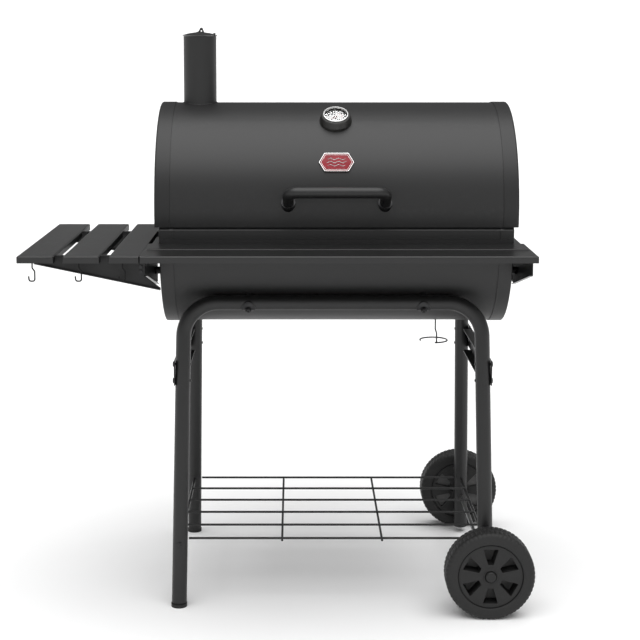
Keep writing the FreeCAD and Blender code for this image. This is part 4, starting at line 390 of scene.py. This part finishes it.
def rounded(points, radius, steps=5):
    """A closed outline with its corners rounded."""
    out = []
    for index, point in enumerate(points):
        here = Vector(point)
        back = (Vector(points[index - 1]) - here).normalized()
        ahead = (Vector(points[(index + 1) % len(points)]) - here).normalized()
        half = back.angle(ahead) / 2
        centre = here + (back + ahead).normalized() * radius / math.sin(half)
        start, end = here + back * radius / math.tan(half), here + ahead * radius / math.tan(half)
        for step in range(steps + 1):
            way = (start - centre).lerp(end - centre, step / steps).normalized() * radius
            out.append(tuple(centre + way))
    return out


def circle_points(radius, count=96):
    angles = [2 * math.pi * k / count for k in range(count)]
    return [(radius * math.cos(angle), radius * math.sin(angle)) for angle in angles]


def turned_outline(points, angle):
    c, s = math.cos(angle), math.sin(angle)
    return [(c * x - s * y, s * x + c * y) for x, y in points]


def tube(mesh, centres, radius, sides=10, closed=False, ripple=None):
    """A round bead or wire through points; ripple gives its thickness by the point's number."""
    count = len(centres)
    rings = []
    for index, centre in enumerate(centres):
        before = centres[index - 1] if closed or index else centre
        after = centres[(index + 1) % count] if closed or index < count - 1 else centre
        here = radius * (ripple(index) if ripple else 1)
        along = (after - before).normalized()
        place = frame_at(centre, along, (0, 0, 1) if abs(along.z) < 0.9 else (1, 0, 0))
        rings.append([mesh.verts.new(place @ Vector((here * math.cos(2 * math.pi * k / sides),
                                                     here * math.sin(2 * math.pi * k / sides), 0)))
                      for k in range(sides)])
    for low, high in list(zip(rings, rings[1:])) + ([(rings[-1], rings[0])] if closed else []):
        for k in range(sides):
            after = (k + 1) % sides
            mesh.faces.new((low[k], low[after], high[after], high[k]))
    if not closed:
        mesh.faces.new(rings[0])
        mesh.faces.new(rings[-1])


def hood_axis():
    """Where the axis of the closed hood's round sheet is, as its Y and Z."""
    low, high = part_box("hood_shell")
    return (low.y + high.y) / 2, high.z - HOOD_RADIUS


def solids(node):
    """The boxes of a CAD node's separate solids, as (lowest corner, highest corner)."""
    mesh = bmesh.new()
    mesh.from_mesh(nodes[node].data)
    bmesh.ops.remove_doubles(mesh, verts=mesh.verts, dist=0.00001)
    left, boxes = set(mesh.verts), []
    while left:
        found, edge_of = [], [left.pop()]
        while edge_of:
            vertex = edge_of.pop()
            found.append(vertex.co.copy())
            for edge in vertex.link_edges:
                other = edge.other_vert(vertex)
                if other in left:
                    left.remove(other)
                    edge_of.append(other)
        boxes.append((Vector(min(co[i] for co in found) for i in range(3)),
                      Vector(max(co[i] for co in found) for i in range(3))))
    mesh.free()
    return sorted(boxes, key=lambda pair: tuple(pair[0]))


# ---- wheels --------------------------------------------------------------------------------------

LUGS = 60
STEPS_PER_LUG = 6
WINDOWS = 6
HALF_WIDTH = 28.5                       # millimetres, as are all the sections of a wheel
TYRE = [(68.0, 21.6), (70.1, 21.8), (70.3, 25.9), (70.7, 26.7), (72.4, 27.7), (74.8, 28.3),
        (78.0, HALF_WIDTH), (84.0, HALF_WIDTH), (87.6, 28.4), (90.2, 27.7), (92.4, 26.4), (94.3, 24.6),
        (95.6, 22.4), (96.3, 20.2), (96.5, 17.8), (96.5, 10.0), (96.5, 1.6), (95.8, 0.8)]
HUB = [(5.0, -44.0), (16.2, -44.0), (17.0, -43.2), (17.0, -27.0), (17.9, -25.7), (19.6, -24.9), (19.6, -23.5),
       (15.7, -23.0), (15.7, 24.0), (16.9, 24.8), (15.9, 25.4), (15.7, 26.1), (15.3, 26.5), (13.4, 26.5),
       (13.0, 26.1), (13.0, 22.0), (5.0, 22.0)]
WEB = [(14.0, -8.8), (68.4, -8.8), (68.4, -17.2), (14.0, -17.2)]
WINDOW = [(-5.4, 26.0), (5.4, 26.0), (16.2, 60.0), (-16.2, 60.0)]
RIB = [(-1.1, 15.0), (1.1, 15.0), (1.1, 24.0), (-1.1, 24.0)]


def lugged(radius, height, step):
    """Cuts the tyre's tread and shoulder into blocks, the two halves half a pitch apart."""
    half = STEPS_PER_LUG // 2 if height > 0 else 0
    groove = (step + half) % STEPS_PER_LUG >= 4
    r, h = radius / MM, height / MM
    if groove and r > 95.0 and abs(h) > 1.2:
        return (r - 1.0) * MM, height
    if groove and r > 89.0:
        return (r - 0.5) * MM, (h - math.copysign(0.5, h)) * MM
    return radius, height


def build_wheel(name, side):
    """A moulded wheel: a lugged tyre, a web with sunk windows on both faces, and a long ribbed hub behind."""
    low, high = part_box(name)
    centre = (low + high) / 2
    centre.y = low.y + HALF_WIDTH * MM if side < 0 else high.y - HALF_WIDTH * MM
    place = frame_at(centre, (0, side, 0))

    def metres(section):
        return [(r * MM, h * MM) for r, h in section]

    mesh = bmesh.new()
    section = TYRE + [(r, -h) for r, h in reversed(TYRE)]
    turned(mesh, metres(section), place, LUGS * STEPS_PER_LUG, True, lugged)
    window = metres(rounded(WINDOW, 2.0))
    holes = [turned_outline(window, 2 * math.pi * k / WINDOWS) for k in range(WINDOWS)]
    face = [circle_points(0.0688)] + holes + [circle_points(0.0145, 48)]
    plate(mesh, face, -0.0095, 0.025, 0.0007, place)
    plate(mesh, face, -0.025, -0.0165, 0.0007, place)
    turned(mesh, metres(HUB), place, 64, True)
    for k in range(WINDOWS):
        rib = turned_outline(metres(RIB), 2 * math.pi * (k + 0.5) / WINDOWS)
        plate(mesh, [rib], -0.034, -0.0245, 0.0004, place)
    wheel = piece(name + "_moulding", mesh, name, finishes["wheel_plastic"], 28)
    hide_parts(name)
    mesh = bmesh.new()
    # The web's core is the floor of the sunk windows and takes the lighter finish: painted light there.
    turned(mesh, metres(WEB), place, 96, True)
    piece(name + "_web", mesh, name, finishes["web_painted_light"])


# ---- badge ---------------------------------------------------------------------------------------

def build_badge():
    """An elongated six-sided enamel plate with a plain bright border and three heat waves."""
    low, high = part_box("badge")
    middle = (low + high) / 2
    normal = Vector((0, -math.sin(BADGE_LEAN), math.cos(BADGE_LEAN)))
    axis_y, axis_z = hood_axis()
    place = frame_at(Vector((middle.x, axis_y, axis_z)) + normal * HOOD_RADIUS, normal)

    def six(inset):
        wide, tall, nose = 0.038 - inset, 0.0215 - inset, 0.012 - inset * 0.42
        return [(-wide, 0), (-wide + nose, -tall), (wide - nose, -tall), (wide, 0), (wide - nose, tall),
                (-wide + nose, tall)]

    mesh = bmesh.new()
    plate(mesh, [rounded(six(0.0004), 0.003)], -0.0011, 0.0029, 0.0004, place)
    body = piece("badge_plate", mesh, "hood", finishes["badge_enamel"])
    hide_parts("badge")
    mesh = bmesh.new()
    plate(mesh, [rounded(six(0), 0.003), rounded(six(0.0017), 0.0024)], 0.0018, 0.0039, 0.0005, place)
    plate(mesh, [rounded(six(0.0040), 0.002), rounded(six(0.0047), 0.0018)], 0.0020, 0.0034, 0.0002, place)
    for row in (-1, 0, 1):
        reach = 0.019 if row else 0.022
        points = []
        for step in range(49):
            x = -reach + 2 * reach * step / 48
            points.append(place @ Vector((x, row * 0.0075 + 0.0017 * math.sin(x / 0.0028), 0.0029)))
        tube(mesh, points, 0.00085, 8, ripple=lambda k: 0.35 + 0.65 * math.sin(math.pi * k / 48) ** 0.5)
    piece("badge_trim", mesh, "hood", finishes["gauge_trim"])


# ---- fasteners and weld beads --------------------------------------------------------------------

def cross_head(mesh, place, radius, height):
    """A domed pan head with a cross recess, its seat at local Z = 0."""
    segments, rings = 48, 14

    def sunk(r, h, step):
        angle = 2 * math.pi * step / segments
        x, y = abs(r * math.cos(angle)), abs(r * math.sin(angle))
        reach, width = radius * 0.56, radius * 0.13
        inside = max(min(x, y) - width, max(x, y) - reach)
        return r, h - height * 0.42 * min(max(0.5 - inside / (radius * 0.05), 0), 1)

    dome = [(radius * k / rings, height * (1 - 0.32 * (k / rings) ** 4)) for k in range(rings + 1)]
    turned(mesh, dome, place, segments, False, sunk)
    skirt = [(radius, height * 0.68), (radius, height * 0.06), (radius * 0.97, 0), (0, 0)]
    turned(mesh, skirt, place, segments)


def hexagon(mesh, place, radius, low, high):
    """A nut: six flats with a chamfered crown."""
    plate(mesh, [circle_points(radius, 6)], low, high, 0.0004, place)
    crown = [(0, high), (radius * 0.72, high + 0.00025), (radius * 0.8, high), (radius * 0.8, low), (0, low)]
    turned(mesh, crown, place, 36)


def build_fasteners():
    """The frame bolts' heads and shanks, and the nuts on the barrel."""
    barrel_low, barrel_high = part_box("body_shell")
    middle = (barrel_low.x + barrel_high.x) / 2
    mesh = bmesh.new()
    for low, high in solids("frame_bolts"):
        side = 1 if (low.x + high.x) / 2 > middle else -1
        seat = (low + high) / 2
        seat.x = high.x - 0.0035 if side > 0 else low.x + 0.0035
        place = frame_at(seat, (side, 0, 0), (0, 1, 0.4))
        cross_head(mesh, place, 0.006, 0.0034)
        end = 0.0036 - (high.x - low.x)
        turned(mesh, [(0.0029, 0.0001), (0.0029, end), (0, end)], place, 20)
    heads = piece("frame_bolt_heads", mesh, "stand", finishes["bolt_black"], 30)
    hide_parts("frame_bolts")
    axis_y, axis_z = (barrel_low.y + barrel_high.y) / 2, barrel_low.z + BARREL_RADIUS
    mesh = bmesh.new()
    for low, high in solids("barrel_nuts"):
        centre = (low + high) / 2
        out = Vector((0, centre.y - axis_y, centre.z - axis_z)).normalized()
        place = frame_at(centre, out)
        hexagon(mesh, place, 0.0066, -0.003, 0.003)
        turned(mesh, [(0.0034, 0.0029), (0.0034, 0.0052), (0.0028, 0.0060), (0, 0.0060)], place, 24)
    nuts = piece("barrel_nut_hexes", mesh, "stand", finishes["bolt_black"], 30)
    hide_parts("barrel_nuts")


def wobble(seed, amount):
    """A small unevenness about 1, the same each run."""
    return 1 + amount * math.sin(seed * 12.9898 + 4.1 * math.sin(seed * 3.7))


def build_welds():
    """The weld bead round the chimney's foot, on the curve where the pipe meets the hood."""
    low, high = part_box("chimney_pipe")
    middle = (low + high) / 2
    axis_y, axis_z = hood_axis()
    mesh = bmesh.new()
    points = []
    for across, back in circle_points(0.0376, 220):
        x, y = middle.x + across, middle.y + back
        points.append(Vector((x, y, axis_z + math.sqrt(HOOD_RADIUS ** 2 - (y - axis_y) ** 2) + 0.0003)))
    tube(mesh, points, 0.0013, 8, True, lambda k: 1 + 0.14 * math.sin(k * 1.43) * wobble(k, 0.6))
    piece("chimney_weld", mesh, "hood", finishes["hood_paint"], 60)


# ---- finishes on the frame's own nodes -----------------------------------------------------------

BLACK_HARDWARE = ("small_screws", "saddle_washers", "handle_screws", "handle_spacers", "chimney_cap_pin")
OWN_FINISH = (("hook_", "wire_paint"), ("hood_end_cap_", "end_paint"), ("side_arm_", "arm_paint"))


def finish_nodes():
    """Gives each of the frame's nodes the finish of its slot, or one of its own."""
    for entry in frame["record"]["subparts"]:
        name, slot = entry["node"], entry["material_slot"]
        materials = nodes[name].data.materials
        material = finishes.get(slot)
        if name in BLACK_HARDWARE:
            material = finishes["bolt_black"]
        for start, finish in OWN_FINISH:
            if name.startswith(start):
                material = finishes[finish]
        if slot == "dial_face":
            low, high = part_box("gauge_dial")
            normal = Vector((0, -math.sin(GAUGE_LEAN), math.cos(GAUGE_LEAN)))
            up = (0, math.cos(GAUGE_LEAN), math.sin(GAUGE_LEAN))
            material = dial_finish((low + high) / 2 + normal * 0.0005, (1, 0, 0), up)
        if len(materials) == 0:
            materials.append(material)
        for index in range(len(materials)):
            materials[index] = material


# ---- stage ---------------------------------------------------------------------------------------

def build_stage():
    """A pale floor that rises far away, a soft overhead light and a studio brighter in front than behind."""
    profile = [(0.0, 0.0), (1.5, 0.0), (4.0, 0.0), (7.0, 0.0),
               (8.0, 0.03), (9.0, 0.12), (10.5, 0.34), (20.0, 2.1)]
    mesh = bmesh.new()
    turned(mesh, profile, Matrix(), 64)
    for face in mesh.faces:
        face.smooth = True
    bmesh.ops.recalc_face_normals(mesh, faces=mesh.faces)
    data = bpy.data.meshes.new("floor")
    mesh.to_mesh(data)
    mesh.free()
    floor = bpy.data.objects.new("floor", data)
    scene.collection.objects.link(floor)
    pale = Finish("floor", Metallic=0.0, Roughness=0.9, Specular_IOR_Level=0.1)
    pale.set(Base_Color=pale.ramp(pale.noise(1.5), 0.3, 0.7, (0.90, 0.90, 0.90), (0.92, 0.92, 0.92)))
    data.materials.append(pale.material)

    world = bpy.data.worlds.new("studio")
    scene.world = world
    world.use_nodes = True
    tree = world.node_tree
    split = tree.nodes.new("ShaderNodeSeparateXYZ")
    tree.links.new(tree.nodes.new("ShaderNodeTexCoord").outputs["Generated"], split.inputs["Vector"])
    depth = tree.nodes.new("ShaderNodeMapRange")
    for name, value in (("From Min", -1.0), ("To Min", WORLD_FRONT), ("To Max", WORLD_BACK)):
        depth.inputs[name].default_value = value
    tree.links.new(split.outputs["Y"], depth.inputs["Value"])
    tree.links.new(depth.outputs["Result"], tree.nodes["Background"].inputs["Strength"])
    tree.nodes["Background"].inputs["Color"].default_value = (1, 1, 1, 1)

    light = bpy.data.lights.new("overhead", "SUN")
    light.energy = 3.1
    light.angle = math.radians(72)
    lamp = bpy.data.objects.new("overhead", light)
    lamp.rotation_euler = Vector((0.0, 0.225, -0.974)).to_track_quat("-Z", "Y").to_euler()
    scene.collection.objects.link(lamp)

    camera = bpy.data.objects.new("camera", bpy.data.cameras.new("camera"))
    camera.location = CAMERA_PLACE
    camera.rotation_euler = (math.radians(90 - CAMERA_DIP), 0, 0)
    camera.data.lens = 80.58
    camera.data.sensor_width = 36
    camera.data.shift_x = 0.0394
    camera.data.shift_y = -0.16
    scene.collection.objects.link(camera)
    scene.camera = camera
    scene.view_settings.view_transform = "Standard"


# ---- the grill -----------------------------------------------------------------------------------

finishes = make_materials()
build_stage()
finish_nodes()
build_wheel("front_wheel", -1)
build_wheel("rear_wheel", 1)
build_badge()
build_fasteners()
build_welds()

bpy.context.view_layer.update()
